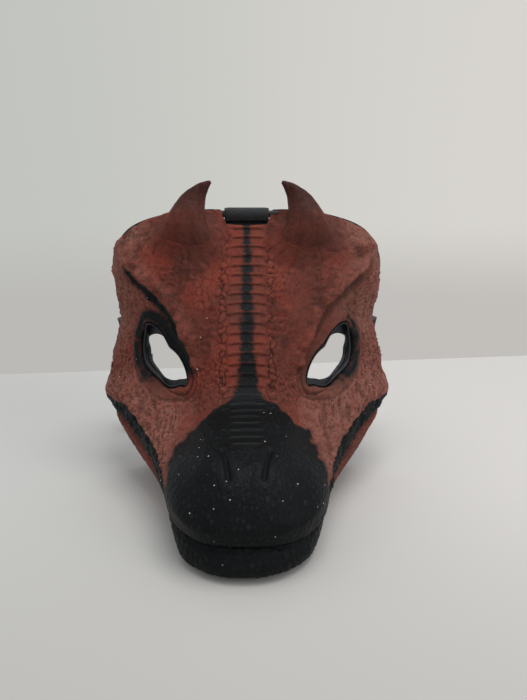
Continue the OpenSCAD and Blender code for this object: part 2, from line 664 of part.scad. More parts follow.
mirror([1, 0, 0]) slider(side_run, strap_w);  // slider_right
strap_patch();
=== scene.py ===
# %% [markdown]
# # A horned dinosaur mask with a jaw that opens
# The real mask is a moulded face in thin stiff rubber, painted red-brown and airbrushed black, on a
# black plastic frame with foam pads and three webbing straps. Its construction, sizes and joints
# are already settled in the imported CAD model. This lesson makes the looks: it loads that model as a
# fixed frame, builds the sculpted surfaces and the soft parts over it, and gives every piece a
# finish made from nodes.

# %% Load the frame
import itertools
import math

import bmesh
import bpy
import numpy as np
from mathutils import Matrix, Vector


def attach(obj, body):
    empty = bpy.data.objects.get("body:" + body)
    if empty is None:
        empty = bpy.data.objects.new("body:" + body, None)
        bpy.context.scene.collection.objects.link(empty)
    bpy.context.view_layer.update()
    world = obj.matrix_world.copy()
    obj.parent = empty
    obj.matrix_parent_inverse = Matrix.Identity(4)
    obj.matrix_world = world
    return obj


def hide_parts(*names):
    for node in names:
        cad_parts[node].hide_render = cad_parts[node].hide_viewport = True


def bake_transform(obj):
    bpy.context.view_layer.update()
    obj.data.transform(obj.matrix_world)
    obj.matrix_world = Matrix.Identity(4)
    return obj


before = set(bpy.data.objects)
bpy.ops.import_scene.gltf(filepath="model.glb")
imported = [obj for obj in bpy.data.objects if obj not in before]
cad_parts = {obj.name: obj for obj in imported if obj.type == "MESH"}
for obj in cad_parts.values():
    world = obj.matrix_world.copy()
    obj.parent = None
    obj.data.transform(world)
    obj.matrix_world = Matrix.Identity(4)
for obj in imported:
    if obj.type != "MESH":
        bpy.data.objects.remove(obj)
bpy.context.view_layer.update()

MM = 0.001

# %% [markdown]
# ## The sheet that everything is drawn on
# The face is one smooth sheet through a net of points, and the jaw is another. The
# frame, the rims, the pads and the teeth in the CAD model all take their places from the same two
# nets, so the net is repeated here: it is the sculptor's armature. A sculpt could also start from a
# subdivided cage, but then nothing would line up with the holes and pins behind it. Rows run from
# the lip to the rear rim, columns from the midline to the end of the cheek.

# %% The two nets, in millimetres
FACE_NET = np.array([
    [[0, -87, 20], [11, -86, 20], [23, -82, 20], [34, -74, 21], [42, -61, 23],
     [47, -42, 26], [57, -15, 32], [81, 24, 45], [108, 60, 56]],
    [[0, -91, 33], [12, -90, 33], [25, -86, 33], [37, -76, 34], [44, -62, 35],
     [50, -42, 37], [61, -13, 43], [86, 29, 56], [110, 64, 60]],
    [[0, -72, 56], [12, -72, 56], [23, -68, 54], [34, -60, 50], [43, -48, 47],
     [50, -30, 48], [63, -2, 53], [90, 37, 63], [111, 68, 62]],
    [[0, -38, 65], [12, -38, 65], [22, -37, 63], [30, -34, 59], [38, -24, 55],
     [48, -6, 56], [63, 14, 62], [91, 47, 69], [111, 72, 64]],
    [[0, -6, 74], [12, -6, 74], [22, -5, 73], [29, -3, 70], [36, 5, 67],
     [49, 18, 70], [67, 34, 75], [94, 58, 75], [111, 76, 66]],
    [[0, 10, 100], [13, 10, 100], [25, 12, 98], [36, 17, 93], [44, 27, 92],
     [59, 38, 94], [79, 51, 90], [99, 67, 80], [111, 80, 68]],
    [[0, 26, 129], [14, 26, 129], [34, 30, 130], [56, 38, 132], [64, 47, 122],
     [74, 54, 114], [87, 62, 104], [101, 73, 88], [110, 84, 70]],
    [[0, 46, 164], [20, 47, 164], [53, 52, 163], [83, 60, 160], [95, 68, 150],
     [98, 74, 132], [97, 78, 112], [104, 82, 91], [110, 88, 72]],
    [[0, 64, 194.5], [30, 66, 196], [64, 72, 192], [91, 82, 182], [105, 89, 162],
     [106, 94, 138], [103, 97, 114], [107, 97, 93], [110, 93, 75]],
], float)
JAW_NET = np.array([
    [[0, -86, 18], [11, -85, 18], [23, -81, 18], [33.5, -73, 19], [41.5, -60, 21],
     [47, -41, 24], [57, -14, 30], [80, 24, 42], [99, 50, 49]],
    [[0, -91, 10], [12, -90, 10], [23.5, -85, 10], [35, -75, 11], [41.5, -61, 13],
     [47.5, -40, 16], [58.5, -12, 22], [81, 23, 33], [96, 50, 40]],
    [[0, -88, 3], [11, -87, 3], [22, -82, 3], [33, -72, 3], [39, -57, 4],
     [43.5, -35, 4], [51, -7, 6], [66, 30, 9], [78, 60, 14]],
    [[0, -70, 0], [10, -69, 0], [19, -65, 0], [27, -57, 0], [33, -45, 0],
     [38, -25, 0], [45, 0, 0], [55, 32, 0], [63, 64, 0]],
    [[0, -36, 0], [8, -35, 0], [15, -32, 0], [20, -27, 0], [24, -19, 0],
     [28, -7, 0], [34, 12, 0], [43, 38, 0], [52, 66, 0]],
], float)
MIDDLE_Y = 33.8
LAST_ROW = 8
SHELL_WALL = 2.4
FRAME_DEPTH = 4.0
FRAME_WALL = 2.0
print("face net:", FACE_NET.shape[:2], "points, jaw net:", JAW_NET.shape[:2], "points")

# %% Reading a point off a net
def spline_weights(t):
    """The four weights of a Catmull-Rom spline at t."""
    return np.stack([-t + 2*t**2 - t**3, 2 - 5*t**2 + 3*t**3, t + 4*t**2 - 3*t**3, t**3 - t**2], -1)/2


def with_borders(net):
    """The net with one more row and column all round: mirrored past the midline, straight on elsewhere."""
    n, m = net.shape[:2]
    wide = np.zeros((n + 2, m + 2, 3))
    wide[1:-1, 1:-1] = net
    wide[1:-1, 0] = net[:, 1]*[-1, 1, 1]
    wide[1:-1, -1] = 2*net[:, -1] - net[:, -2]
    wide[0] = 2*wide[1] - wide[2]
    wide[-1] = 2*wide[-2] - wide[-3]
    return wide


def patch(net, r, c):
    """Points of the sheet at rows r and columns c, in millimetres in the frame's own place."""
    r, c = np.broadcast_arrays(np.asarray(r, float), np.asarray(c, float))
    side = np.where(c < 0, -1.0, 1.0)
    c = np.abs(c)
    wide = with_borders(net)
    i = np.clip(np.floor(r), 0, len(net) - 2).astype(int)
    j = np.clip(np.floor(c), 0, len(net[0]) - 2).astype(int)
    row_weights = spline_weights(r - i)
    col_weights = spline_weights(c - j)
    points = sum((row_weights[..., a]*col_weights[..., b])[..., None]*wide[i + a, j + b]
                 for a in range(4) for b in range(4))
    points[..., 0] *= side
    points[..., 1] -= MIDDLE_Y
    points[..., 2] = np.maximum(points[..., 2], 0)
    return points


print("middle of the forehead, in millimetres:", patch(FACE_NET, 6, 0).round(1))

# %% Directions and soft steps
def unit(v):
    """The same directions, each one long."""
    return v/np.maximum(np.linalg.norm(v, axis=-1, keepdims=True), 1e-9)


def sheet_at(net, r, c, depth=0.0):
    """Points at a depth below a sheet, and the directions out of it. The jaw's rows run down."""
    e = 0.04
    turn = -1 if net is JAW_NET else 1
    along_row = patch(net, r, c + e) - patch(net, r, c - e)
    along_col = patch(net, r + e, c) - patch(net, r - e, c)
    out = turn*unit(np.cross(along_row, along_col))
    return patch(net, r, c) - out*depth, out


def grid_normals(grid):
    """The direction square to a grid of points, at each of them."""
    return unit(np.cross(np.gradient(grid, axis=1), np.gradient(grid, axis=0)))


def smooth(t):
    """A soft step from 0 to 1 as t goes from 0 to 1."""
    t = np.clip(t, 0, 1)
    return t*t*(3 - 2*t)


def fade(value, start, end):
    """0 at start and 1 at end, with soft ends. start may be the larger."""
    return smooth((value - start)/(end - start))


print("the nose tip faces", sheet_at(FACE_NET, 1.0, 0.0)[1].round(2))

# %% The eye opening, drawn on the same net
EYE_ROW = 5.0
EYE_COL = 5.0
EYE_REACH = np.array([0.88, 0.82, 0.88, 1.0, 0.85, 0.63, 0.9, 1.0, 0.78, 0.82, 1.05, 1.10])


def eye_reach(angle):
    """How far the opening reaches, on the net, in the direction of an angle in radians."""
    s = (angle % (2*np.pi))*len(EYE_REACH)/(2*np.pi)
    k = np.floor(s).astype(int)
    w = spline_weights(s - k)
    return sum(w[..., a]*EYE_REACH[(k + a - 1) % len(EYE_REACH)] for a in range(4))


def eye_bend(r, c, grow=1.0):
    """Bends the square of cells round the eye into the opening's outline."""
    dr = r - EYE_ROW
    dc = np.abs(c) - EYE_COL
    q = np.maximum(np.abs(dr), np.abs(dc))
    angle = np.arctan2(dr, dc)
    square = 1/np.maximum(np.abs(np.cos(angle)), np.abs(np.sin(angle)))
    k = 1 + smooth(2 - q)*(eye_reach(angle)*grow/square - 1)
    k = np.where((q >= 2) | (q == 0), 1, k)
    return EYE_ROW + dr*k, np.where(c < 0, -1, 1)*(EYE_COL + dc*k)


print("eye opening reaches from", EYE_REACH.min(), "to", EYE_REACH.max(), "cells of the net")

# %% The rear rim and its notches
NOTCH_DEPTH = 0.3
NOTCH_SIDE = (0.635, 0.585)
TEMPLE_COL = 5.8
TEMPLE_HALF = 0.9
TEMPLE_DIP = 0.22


def rim_row(c):
    """The row at which the shell ends: the strap bar's notch in the middle, a shallow one in each side."""
    c = np.abs(c)
    notch = NOTCH_DEPTH*fade(c, *NOTCH_SIDE)
    return LAST_ROW - notch - TEMPLE_DIP*smooth(1 - np.abs(c - TEMPLE_COL)/TEMPLE_HALF)


def shell_place(r, c):
    """Where a point of the plain grid lies on the net once the eye and the rim are shaped."""
    bent_r, bent_c = eye_bend(r, c)
    top = LAST_ROW - 1
    at_rim = top + (r - top)*(rim_row(c) - top)
    return np.where(r <= top, bent_r, at_rim), np.where(r <= top, bent_c, c)


print("rim at the middle, beside the notch and at the temple:", rim_row(np.array([0, 1, 5.8])).round(2))

# %% [markdown]
# ## Sculpting by formula
# A sculptor would press scales, wrinkles and ridges into clay. Here each of them is a height over
# the sheet, measured in millimetres from lines drawn on the net or from scattered cells, and the
# heights add up. A texture map could fake this, but real geometry keeps the relief when the model
# is turned, lit from the side or printed.

# %% Noise and scattered cells
def scatter(cell, seed):
    """A repeatable random number from 0 to 1 for each whole-number cell."""
    mixed = np.sin(cell @ np.array([127.1, 311.7, 74.7]) + seed*17.3)*43758.5453
    return mixed - np.floor(mixed)


def noise(p, size, seed=0):
    """Soft noise from -1 to 1 whose lumps are about size across."""
    q = p/size
    base = np.floor(q)
    t = q - base
    t = t*t*(3 - 2*t)
    total = 0
    for corner in itertools.product((0, 1), repeat=3):
        corner = np.array(corner)
        weight = np.prod(np.where(corner, t, 1 - t), axis=-1)
        total = total + weight*scatter(base + corner, seed)
    return total*2 - 1


def scales(p, size, seed=0):
    """Scales about size across: how far each point is from its scale's edge, and a number for the scale."""
    q = p/size
    base = np.floor(q)
    near = np.full(q.shape[:-1], 9.0)
    next_near = near.copy()
    number = near.copy()
    for step in itertools.product((-1, 0, 1), repeat=3):
        cell = base + np.array(step)
        point = cell + 0.5 + 0.42*np.stack([scatter(cell, seed + k) - 0.5 for k in (1, 2, 3)], -1)*2
        d = np.linalg.norm(q - point, axis=-1)
        closer = d < near
        next_near = np.where(closer, near, np.minimum(next_near, d))
        number = np.where(closer, scatter(cell, seed + 4), number)
        near = np.minimum(near, d)
    return next_near - near, number


print("noise at one place:", round(float(noise(np.array([1.0, 2.0, 3.0]), 2.5)), 3))

# %% Lines drawn on the net
def drawn(points, count=70):
    """A smooth line through given (row, column) points."""
    pts = np.array(points, float)
    pts = np.vstack([2*pts[0] - pts[1], pts, 2*pts[-1] - pts[-2]])
    t = np.linspace(0, len(points) - 1, count)
    k = np.minimum(np.floor(t).astype(int), len(points) - 2)
    w = spline_weights(t - k)
    return sum(w[:, a, None]*pts[k + a] for a in range(4))


def distance_to(line, p):
    """Millimetres from each point to a line on the face, and how far along it that is, 0 to 1."""
    folded = p.copy()
    folded[..., 0] = np.abs(folded[..., 0])
    track = patch(FACE_NET, line[:, 0], line[:, 1])
    best = np.full(p.shape[:-1], 1e9)
    along = np.zeros(p.shape[:-1])
    for k, point in enumerate(track):
        d = np.linalg.norm(folded - point, axis=-1)
        along = np.where(d < best, k/(len(track) - 1), along)
        best = np.minimum(best, d)
    return best, along


def groove(d, width):
    """1 in the middle of a groove and 0 past its width."""
    return smooth(1 - d/width)


print("halfway to its edge a groove still has", groove(1.0, 2.0), "of its depth")

# %% Hollows and crests, for wiped paint with painted shade and painted highlight
BLUR_PASSES = 9
HOLLOW_MM = (-0.07, -0.38)
CREST_MM = (0.08, 0.4)


def blurred(field, times):
    """A grid of values evened out with its neighbours, over and over."""
    for _ in range(times):
        wide = np.pad(field, 1, mode="edge")
        around = wide[1:-1, 1:-1]*2 + wide[:-2, 1:-1] + wide[2:, 1:-1] + wide[1:-1, :-2] + wide[1:-1, 2:]
        field = around/6
    return field


def wiped_and_shaded(height):
    """Where paint left by wiping and painted shade gather in hollows, and where crests turn pale with worn
    paint and painted highlight, from how far a point lies off its surroundings.
    """
    off = height - blurred(height, BLUR_PASSES)
    return fade(off, *HOLLOW_MM), fade(off, *CREST_MM)


print("wiped paint stays", -HOLLOW_MM[1], "mm below its surroundings and goes", CREST_MM[1], "mm above")

# %% [markdown]
# ## From grids to closed pieces
# Each sculpted shell is a fine outer grid and a coarser inner one, walled together along every edge
# and hole. The Solidify modifier would double the fine grid; making the inside by hand keeps the
# mesh half as heavy and closed.

# %% Closing a sheet
def thick_sheet(outer, inner, step, is_hole=None):
    """Points and faces of a closed sheet. The inner grid has every step-th row and column."""
    n = inner.shape[0] - 1
    m = inner.shape[1] - 1
    wide = outer.shape[1]
    first = outer.shape[0]*wide
    kept = np.ones((n + 2, m + 2), bool)
    kept[[0, -1], :] = False
    kept[:, [0, -1]] = False
    if is_hole is not None:
        kept[1:-1, 1:-1] = ~is_hole
    fine = np.kron(kept[1:-1, 1:-1], np.ones((step, step), bool))
    i, j = np.nonzero(fine)
    a = i*wide + j
    faces = np.stack([a, a + 1, a + wide + 1, a + wide], -1).tolist()
    run = range(step + 1)
    for row, col in zip(*np.nonzero(kept[1:-1, 1:-1])):
        low = row*step*wide
        left = col*step
        A = first + row*(m + 1) + col
        B = A + 1
        D = A + m + 1
        C = D + 1
        faces.append([A, D, C, B])
        if not kept[row + 1, col]:
            faces.append([low + k*wide + left for k in run] + [D, A])
        if not kept[row + 1, col + 2]:
            faces.append([low + k*wide + left + step for k in reversed(run)] + [B, C])
        if not kept[row, col + 1]:
            faces.append([low + left + k for k in reversed(run)] + [A, B])
        if not kept[row + 2, col + 1]:
            faces.append([low + step*wide + left + k for k in run] + [C, D])
    return np.vstack([outer.reshape(-1, 3), inner.reshape(-1, 3)]), faces


flat_test = np.zeros((5, 5, 3))
test_faces = thick_sheet(flat_test, flat_test[::4, ::4], 4)[1]
print("a closed test sheet of 4 by 4 cells has", len(test_faces), "faces")

# %% Skins over rings
def rings_to_mesh(rings, close=False):
    """Points and faces of a skin over rings of points; close joins the last ring to the first."""
    rings = np.asarray(rings, float)
    n, k = rings.shape[:2]
    faces = []
    for i in range(n if close else n - 1):
        this = i*k
        after = (i + 1) % n*k
        for j in range(k):
            turn = (j + 1) % k
            faces.append([this + j, after + j, after + turn, this + turn])
    if not close:
        faces.append(list(range(k)))
        faces.append([(n - 1)*k + j for j in reversed(range(k))])
    return rings.reshape(-1, 3), faces


def gather(parts):
    """Several lots of points and faces as one."""
    points = []
    faces = []
    first = 0
    for some_points, some_faces in parts:
        points.append(some_points)
        faces += [[v + first for v in face] for face in some_faces]
        first += len(some_points)
    return np.vstack(points), faces


print("three rings of four make", len(rings_to_mesh(np.zeros((3, 4, 3)))[1]), "faces with the caps")

# %% Making a piece
def make_piece(name, points, faces, material, body, slot, stands_for=(), **paint):
    """A piece in millimetres, with any values painted on its points, riding on a body."""
    mesh = bpy.data.meshes.new(name)
    mesh.from_pydata((np.asarray(points)*MM).tolist(), [], faces)
    for key, values in paint.items():
        full = np.zeros(len(mesh.vertices), np.float32)
        full[:np.size(values)] = np.ravel(values)
        mesh.attributes.new(key, "FLOAT", "POINT").data.foreach_set("value", full)
    tidy = bmesh.new()
    tidy.from_mesh(mesh)
    bmesh.ops.delete(tidy, geom=[v for v in tidy.verts if not v.link_faces], context="VERTS")
    bmesh.ops.recalc_face_normals(tidy, faces=tidy.faces)
    tidy.to_mesh(mesh)
    tidy.free()
    mesh.polygons.foreach_set("use_smooth", [True]*len(mesh.polygons))
    piece = bpy.data.objects.new(name, mesh)
    bpy.context.scene.collection.objects.link(piece)
    mesh.materials.append(material)
    if body:
        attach(piece, body)
    if stands_for:
        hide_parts(*stands_for)
    print(f"{name}: {len(mesh.vertices)} points, {len(mesh.polygons)} faces, on {body or 'two bodies'}")
    return piece


print("one unit of the scene is", round(1/MM), "mm")

# %% [markdown]
# ## Finishes from nodes
# Every finish is a small tree of nodes. Two helpers keep the trees short to write: one adds a node
# and wires or sets its inputs by name, the other mixes two colours. What several finishes share,
# such as grain, wear or dust, is a node group, built once with named inputs and outputs, and each
# material places it with its own values.

# %% Colours and nodes
def srgb(r, g, b):
    """A colour given as 0 to 255 screen values, for a shader socket."""
    shares = (r/255, g/255, b/255)
    return tuple(v/12.92 if v <= 0.04045 else ((v + 0.055)/1.055)**2.4 for v in shares) + (1.0,)


def wire(tree, socket, value):
    """Links a socket to another, or sets it to a value."""
    if isinstance(value, bpy.types.NodeSocket):
        tree.links.new(value, socket)
    elif isinstance(value, tuple) and len(value) == 4 and socket.type == "VECTOR":
        socket.default_value = value[:3]
    else:
        socket.default_value = value


def add(tree, kind, settings=None, **inputs):
    """A node of a kind, with settings, and with inputs by name (an underscore is a space)."""
    made = tree.nodes.new("ShaderNode" + kind)
    for key, value in (settings or {}).items():
        setattr(made, key, value)
    for key, value in inputs.items():
        wire(tree, made.inputs[key.replace("_", " ")], value)
    return made


def mixed(tree, share, first, second):
    """The colour first, turning into second by a share."""
    made = tree.nodes.new("ShaderNodeMix")
    made.data_type = "RGBA"
    for index, value in ((0, share), (6, first), (7, second)):
        wire(tree, made.inputs[index], value)
    return made.outputs[2]


print("mid grey on a screen is", round(srgb(128, 128, 128)[0], 3), "on a shader socket")

# %% Sums, ranges, painted values and noise
def calc(tree, operation, *values, clamp=False):
    """The result of a sum on sockets or numbers."""
    made = tree.nodes.new("ShaderNodeMath")
    made.operation = operation
    made.use_clamp = clamp
    for index, value in enumerate(values):
        wire(tree, made.inputs[index], value)
    return made.outputs[0]


def times(tree, first, second):
    """Two values multiplied, which is the sum that the finishes use most."""
    return calc(tree, "MULTIPLY", first, second)


def ranged(tree, value, low, high, to_low=0.0, to_high=1.0):
    """A value moved softly from one range to another, and held at its ends."""
    made = tree.nodes.new("ShaderNodeMapRange")
    made.interpolation_type = "SMOOTHSTEP"
    for index, given in enumerate((value, low, high, to_low, to_high)):
        wire(tree, made.inputs[index], given)
    return made.outputs[0]


def painted(tree, name):
    """The value painted on the mesh's points under a name."""
    made = tree.nodes.new("ShaderNodeAttribute")
    made.attribute_name = name
    return made.outputs["Fac"]


def noise_node(tree, vector, scale, detail=3.0, rough=0.55):
    """Soft noise from 0 to 1."""
    made = add(tree, "TexNoise", Vector=vector, Scale=scale, Detail=detail, Roughness=rough)
    return made.outputs["Fac"]


print("helpers:", [f.__name__ for f in (wire, add, mixed, calc, times, ranged, painted, noise_node)])

# %% Making and using a node group
NUMBER = "NodeSocketFloat"
PLACE = ("Vector", "NodeSocketVector", None)


def new_group(name, inputs, outputs):
    """An empty node group: its tree, its input node and its output node."""
    group = bpy.data.node_groups.new(name, "ShaderNodeTree")
    for socket, kind, value in inputs:
        made = group.interface.new_socket(socket, in_out="INPUT", socket_type=kind)
        if value is not None:
            made.default_value = value
    for socket in outputs:
        group.interface.new_socket(socket, in_out="OUTPUT", socket_type=NUMBER)
    given = group.nodes.new("NodeGroupInput").outputs
    return group, given, group.nodes.new("NodeGroupOutput").inputs


def use_group(tree, group, **inputs):
    """A group put into a tree with its own values: the sockets it gives."""
    made = tree.nodes.new("ShaderNodeGroup")
    made.node_tree = group
    for key, value in inputs.items():
        wire(tree, made.inputs[key.replace("_", " ")], value)
    return made.outputs


print("groups take a place as", PLACE[1], "and numbers as", NUMBER)

# %% Leathery grain
GRAIN_WARP = (0.0014, 0.0014, 0.0014)


def build_skin_grain():
    """Leathery grain: small pebbles under a finer noise. Height is from 0 to 1."""
    group, given, put = new_group("skin_grain", [PLACE, ("Scale", NUMBER, 1.0)], ["Height", "Pits"])
    warp = add(group, "TexNoise", Vector=given["Vector"], Scale=220.0, Detail=2.0)
    bent = add(group, "VectorMath", {"operation": "MULTIPLY_ADD"})
    wire(group, bent.inputs[0], warp.outputs["Color"])
    bent.inputs[1].default_value = GRAIN_WARP
    wire(group, bent.inputs[2], given["Vector"])
    size = times(group, given["Scale"], 620.0)
    pebbles = add(group, "TexVoronoi", {"feature": "F1"}, Vector=bent.outputs[0], Scale=size)
    fine = noise_node(group, bent.outputs[0], times(group, given["Scale"], 1500.0), 3.0)
    dome = ranged(group, pebbles.outputs["Distance"], 0.0, 0.75, 1.0, 0.0)
    height = calc(group, "ADD", times(group, dome, 0.7), times(group, fine, 0.3))
    wire(group, put["Height"], height)
    wire(group, put["Pits"], ranged(group, pebbles.outputs["Distance"], 0.55, 0.8))
    return group


SKIN_GRAIN = build_skin_grain()
print("skin_grain:", len(SKIN_GRAIN.nodes), "nodes")

# %% Specks and clouds
def build_specks():
    """Sparse tiny dots, such as bright specks left by dust and clear coat."""
    inputs = [PLACE, ("Scale", NUMBER, 300.0), ("Amount", NUMBER, 0.03)]
    group, given, put = new_group("specks", inputs, ["Mask"])
    dots = add(group, "TexVoronoi", {"feature": "F1"}, Vector=given["Vector"], Scale=given["Scale"])
    chosen = add(group, "SeparateColor", Color=dots.outputs["Color"]).outputs[0]
    near = ranged(group, dots.outputs["Distance"], 0.26, 0.12)
    few = calc(group, "LESS_THAN", chosen, given["Amount"])
    wire(group, put["Mask"], times(group, near, few))
    return group


def build_cloudy():
    """Two sizes of soft clouds, each from 0 to 1, for paint that was laid on by hand."""
    group, given, put = new_group("cloudy", [PLACE, ("Scale", NUMBER, 30.0)], ["Mask", "Fine"])
    large = noise_node(group, given["Vector"], given["Scale"], 4.0, 0.6)
    small = noise_node(group, given["Vector"], times(group, given["Scale"], 6.0), 5.0, 0.65)
    wire(group, put["Mask"], ranged(group, large, 0.35, 0.65))
    wire(group, put["Fine"], ranged(group, small, 0.32, 0.68))
    return group


SPECKS = build_specks()
CLOUDY = build_cloudy()
print("groups:", [group.name for group in (SKIN_GRAIN, SPECKS, CLOUDY)])

# %% A new material, and bumps on it
def new_material(name):
    """A material with only a Principled shader: its tree, the shader and object coordinates."""
    material = bpy.data.materials.new(name)
    material.use_nodes = True
    tree = material.node_tree
    tree.nodes.clear()
    shader = tree.nodes.new("ShaderNodeBsdfPrincipled")
    tree.links.new(shader.outputs[0], tree.nodes.new("ShaderNodeOutputMaterial").inputs["Surface"])
    place = tree.nodes.new("ShaderNodeTexCoord").outputs["Object"]
    return material, tree, shader, place


def bumped(tree, shader, height, depth_mm, strength=1.0):
    """Lets a height from 0 to 1 bend the light as if it were so many millimetres deep."""
    bump = add(tree, "Bump", Strength=strength, Distance=depth_mm*MM, Height=height)
    wire(tree, shader.inputs["Normal"], bump.outputs["Normal"])


print("a bump 0.35 mm deep is", 0.35*MM, "m on its node")

# %% [markdown]
# ## The painted rubber
# The real skin is sprayed red-brown, wiped so that the creases stay dark and the crests turn pale,
# and airbrushed black on the snout, down the middle and round the eyes. The sculpting steps paint
# those places on the mesh as named values from 0 to 1, and this material turns them into colour, so
# that paint and relief always agree. The dark creases and pale crests also stand for painted shade
# and painted highlight, and the black behind the brow ridges for painted shadow.

# %% Colours of the paint
RED = srgb(120, 52, 40)
BROWN = srgb(94, 49, 40)
DUST = srgb(134, 90, 78)
# CREASE and CREST are paint from wiping and also painted shade and painted highlight; the black below is
# airbrush paint and also painted shadow behind the brow ridges.
CREASE = srgb(36, 20, 17)
CREST = srgb(150, 80, 64)
SOOT_AND_SHADOW_BLACK = srgb(11, 14, 15)
SOOT_AND_SHADOW_GREY = srgb(17, 20, 21)
SOOT_RUBBED_AND_LIT = srgb(86, 84, 82)
HORN = srgb(69, 40, 34)
SPECK = srgb(196, 192, 186)
print("paint red on the shader:", [round(v, 3) for v in RED[:3]])

# %% Painted skin
def build_painted_skin(name, red, brown, roughness, grain=1.0):
    """Sprayed paint and paint left by wiping, which also stand for painted shade in creases and pits and
    painted highlight on crests: base, dust, horn, crests, creases and pits, then the airbrushed black with
    the painted shadow behind the brows over all.
    """
    material, tree, shader, place = new_material(name)
    clouds = use_group(tree, CLOUDY, Vector=place, Scale=28.0)
    skin = use_group(tree, SKIN_GRAIN, Vector=place, Scale=grain)
    across = add(tree, "SeparateXYZ", Vector=place).outputs["X"]
    to_right = ranged(tree, across, -0.03, 0.07, 0.0, 0.45)
    browner = calc(tree, "ADD", clouds["Mask"], to_right, clamp=True)
    colour = mixed(tree, browner, red, brown)
    mottle = mixed(tree, times(tree, clouds["Fine"], 0.16), colour, CREST)
    dusting = times(tree, painted(tree, "dust"), ranged(tree, clouds["Fine"], 0, 1, 0.4, 1))
    dusty = mixed(tree, dusting, mottle, DUST)
    horny = mixed(tree, painted(tree, "horn"), dusty, HORN)
    # Paler crests, darker creases and darker grain pits: paint from wiping, and also painted highlight and
    # painted shade.
    lit = mixed(tree, times(tree, painted(tree, "crest"), 0.5), horny, CREST)
    dark = mixed(tree, times(tree, painted(tree, "crease"), 0.85), lit, CREASE)
    pitted = mixed(tree, times(tree, skin["Pits"], 0.25), dark, CREASE)
    # The airbrushed black also carries the painted shadow behind the brow ridges; its crests turn paler as
    # painted highlight.
    ragged = calc(tree, "SUBTRACT", clouds["Fine"], 0.5)
    edge = calc(tree, "MULTIPLY_ADD", ragged, 0.4, painted(tree, "soot"))
    soot = ranged(tree, edge, 0.15, 0.8)
    sooty = mixed(tree, times(tree, clouds["Mask"], 0.5), SOOT_AND_SHADOW_BLACK, SOOT_AND_SHADOW_GREY)
    pale_soot = mixed(tree, times(tree, painted(tree, "crest"), 0.22), sooty, SOOT_RUBBED_AND_LIT)
    coloured = mixed(tree, soot, pitted, pale_soot)
    amount = calc(tree, "MULTIPLY_ADD", painted(tree, "soot"), 0.02, 0.003)
    specks = use_group(tree, SPECKS, Vector=place, Scale=480.0, Amount=amount)
    wire(tree, shader.inputs["Base Color"], mixed(tree, specks["Mask"], coloured, SPECK))
    shader.inputs["Specular IOR Level"].default_value = 0.1
    rough = mixed(tree, soot, (roughness,)*3 + (1,), (0.48, 0.48, 0.48, 1))
    wire(tree, shader.inputs["Roughness"], rough)
    bumped(tree, shader, skin["Height"], 0.35, 0.55)
    return material


skin_paint = build_painted_skin("painted_skin", RED, BROWN, 0.62)
horn_paint = build_painted_skin("painted_horn", RED, BROWN, 0.55, 0.6)
print("materials so far:", [m.name for m in bpy.data.materials if m.users])

# %% [markdown]
# ## The face
# One grid covers the whole face. Its rows and columns crowd together where the relief is fine, and
# they bend round the eyes. Each feature below is a height in millimetres, and beside it the step
# paints where creases, crests, soot and dust lie. The same relief could be brushed by hand in
# sculpt mode, but a formula can be read, changed and run again.

# %% The face's grid
GRID_STEP = 4
ROWS_PER_UNIT = [16, 32, 36, 32, 32, 32, 40, 32]
COLS_PER_UNIT = [28, 36, 32, 28, 28, 36, 40, 32]


def uneven(counts):
    """Steps along whole units, with its own count in each unit."""
    return np.concatenate([k + np.arange(count)/count for k, count in enumerate(counts)] + [[len(counts)]])


half_cols = uneven(COLS_PER_UNIT)
all_cols = np.concatenate([-half_cols[:0:-1], half_cols])
face_r, face_c = np.meshgrid(uneven(ROWS_PER_UNIT), all_cols, indexing="ij")
row, col = shell_place(face_r, face_c)
sheet = patch(FACE_NET, row, col)
sheet_normal = grid_normals(sheet)
acol = np.abs(col)
ax = np.abs(sheet[..., 0])
right = fade(sheet[..., 0], -30, 30)
run_rows = np.linspace(0, LAST_ROW, 400)
middle_line = patch(FACE_NET, run_rows, np.zeros(400))
middle_steps = np.linalg.norm(np.diff(middle_line, axis=0), axis=1)
middle_run = np.concatenate([[0], np.cumsum(middle_steps)])
run = np.interp(row, run_rows, middle_run)
print("face grid:", face_r.shape, "middle line", round(middle_run[-1]), "mm long")

# %% Distances that the features use
eye_angle = np.linspace(0, 2*np.pi, 181)[:-1]
square = 1/np.maximum(np.abs(np.cos(eye_angle)), np.abs(np.sin(eye_angle)))
eye_r, eye_c = eye_bend(EYE_ROW + np.sin(eye_angle)*square, EYE_COL + np.cos(eye_angle)*square)
eye_d, _ = distance_to(np.stack([eye_r, eye_c], -1), sheet)
eye_turn = np.arctan2(row - EYE_ROW, acol - EYE_COL)
BROW = drawn([(4.75, 3.3), (5.12, 2.92), (5.6, 2.92), (5.92, 3.03), (6.25, 3.16), (6.55, 3.2),
              (6.85, 3.3), (7.2, 3.1), (7.6, 2.6)])
brow_d, brow_along = distance_to(BROW, sheet)
brow_col = np.interp(row, BROW[:, 0], BROW[:, 1])
off_brow = (acol - brow_col)*15
outside_brow = fade(off_brow, -0.6, 0.6)*fade(row, 4.5, 4.9)*fade(row, 7.2, 6.7)
TEAR = drawn([(5.0, 3.5), (4.6, 3.62), (4.22, 4.2), (4.0, 5.0), (4.0, 5.7)])
tear_d, tear_along = distance_to(TEAR, sheet)
HORN_AT = (7.45, 1.55)
HORN_FOOT = (0.36, 0.5)
horn_up = (row - HORN_AT[0])/HORN_FOOT[0]
horn_out = (acol - HORN_AT[1])/HORN_FOOT[1]
horn_far = np.hypot(horn_up, horn_out)
horn_turn = np.arctan2(horn_up, horn_out)
print("nearest to the eye, brow and tear duct:", eye_d.min().round(2), brow_d.min().round(2),
      tear_d.min().round(2), "mm")

# %% [markdown]
# ### The ridge of scutes
# A row of broad overlapping plates runs down the forehead to the snout, each with a rounded edge
# and a crease below it. They could be modelled one by one as separate pieces. Here a saw-tooth wave
# along the midline raises them all at once, bowed like roof tiles, and a random number for each
# plate and side makes their ends uneven.

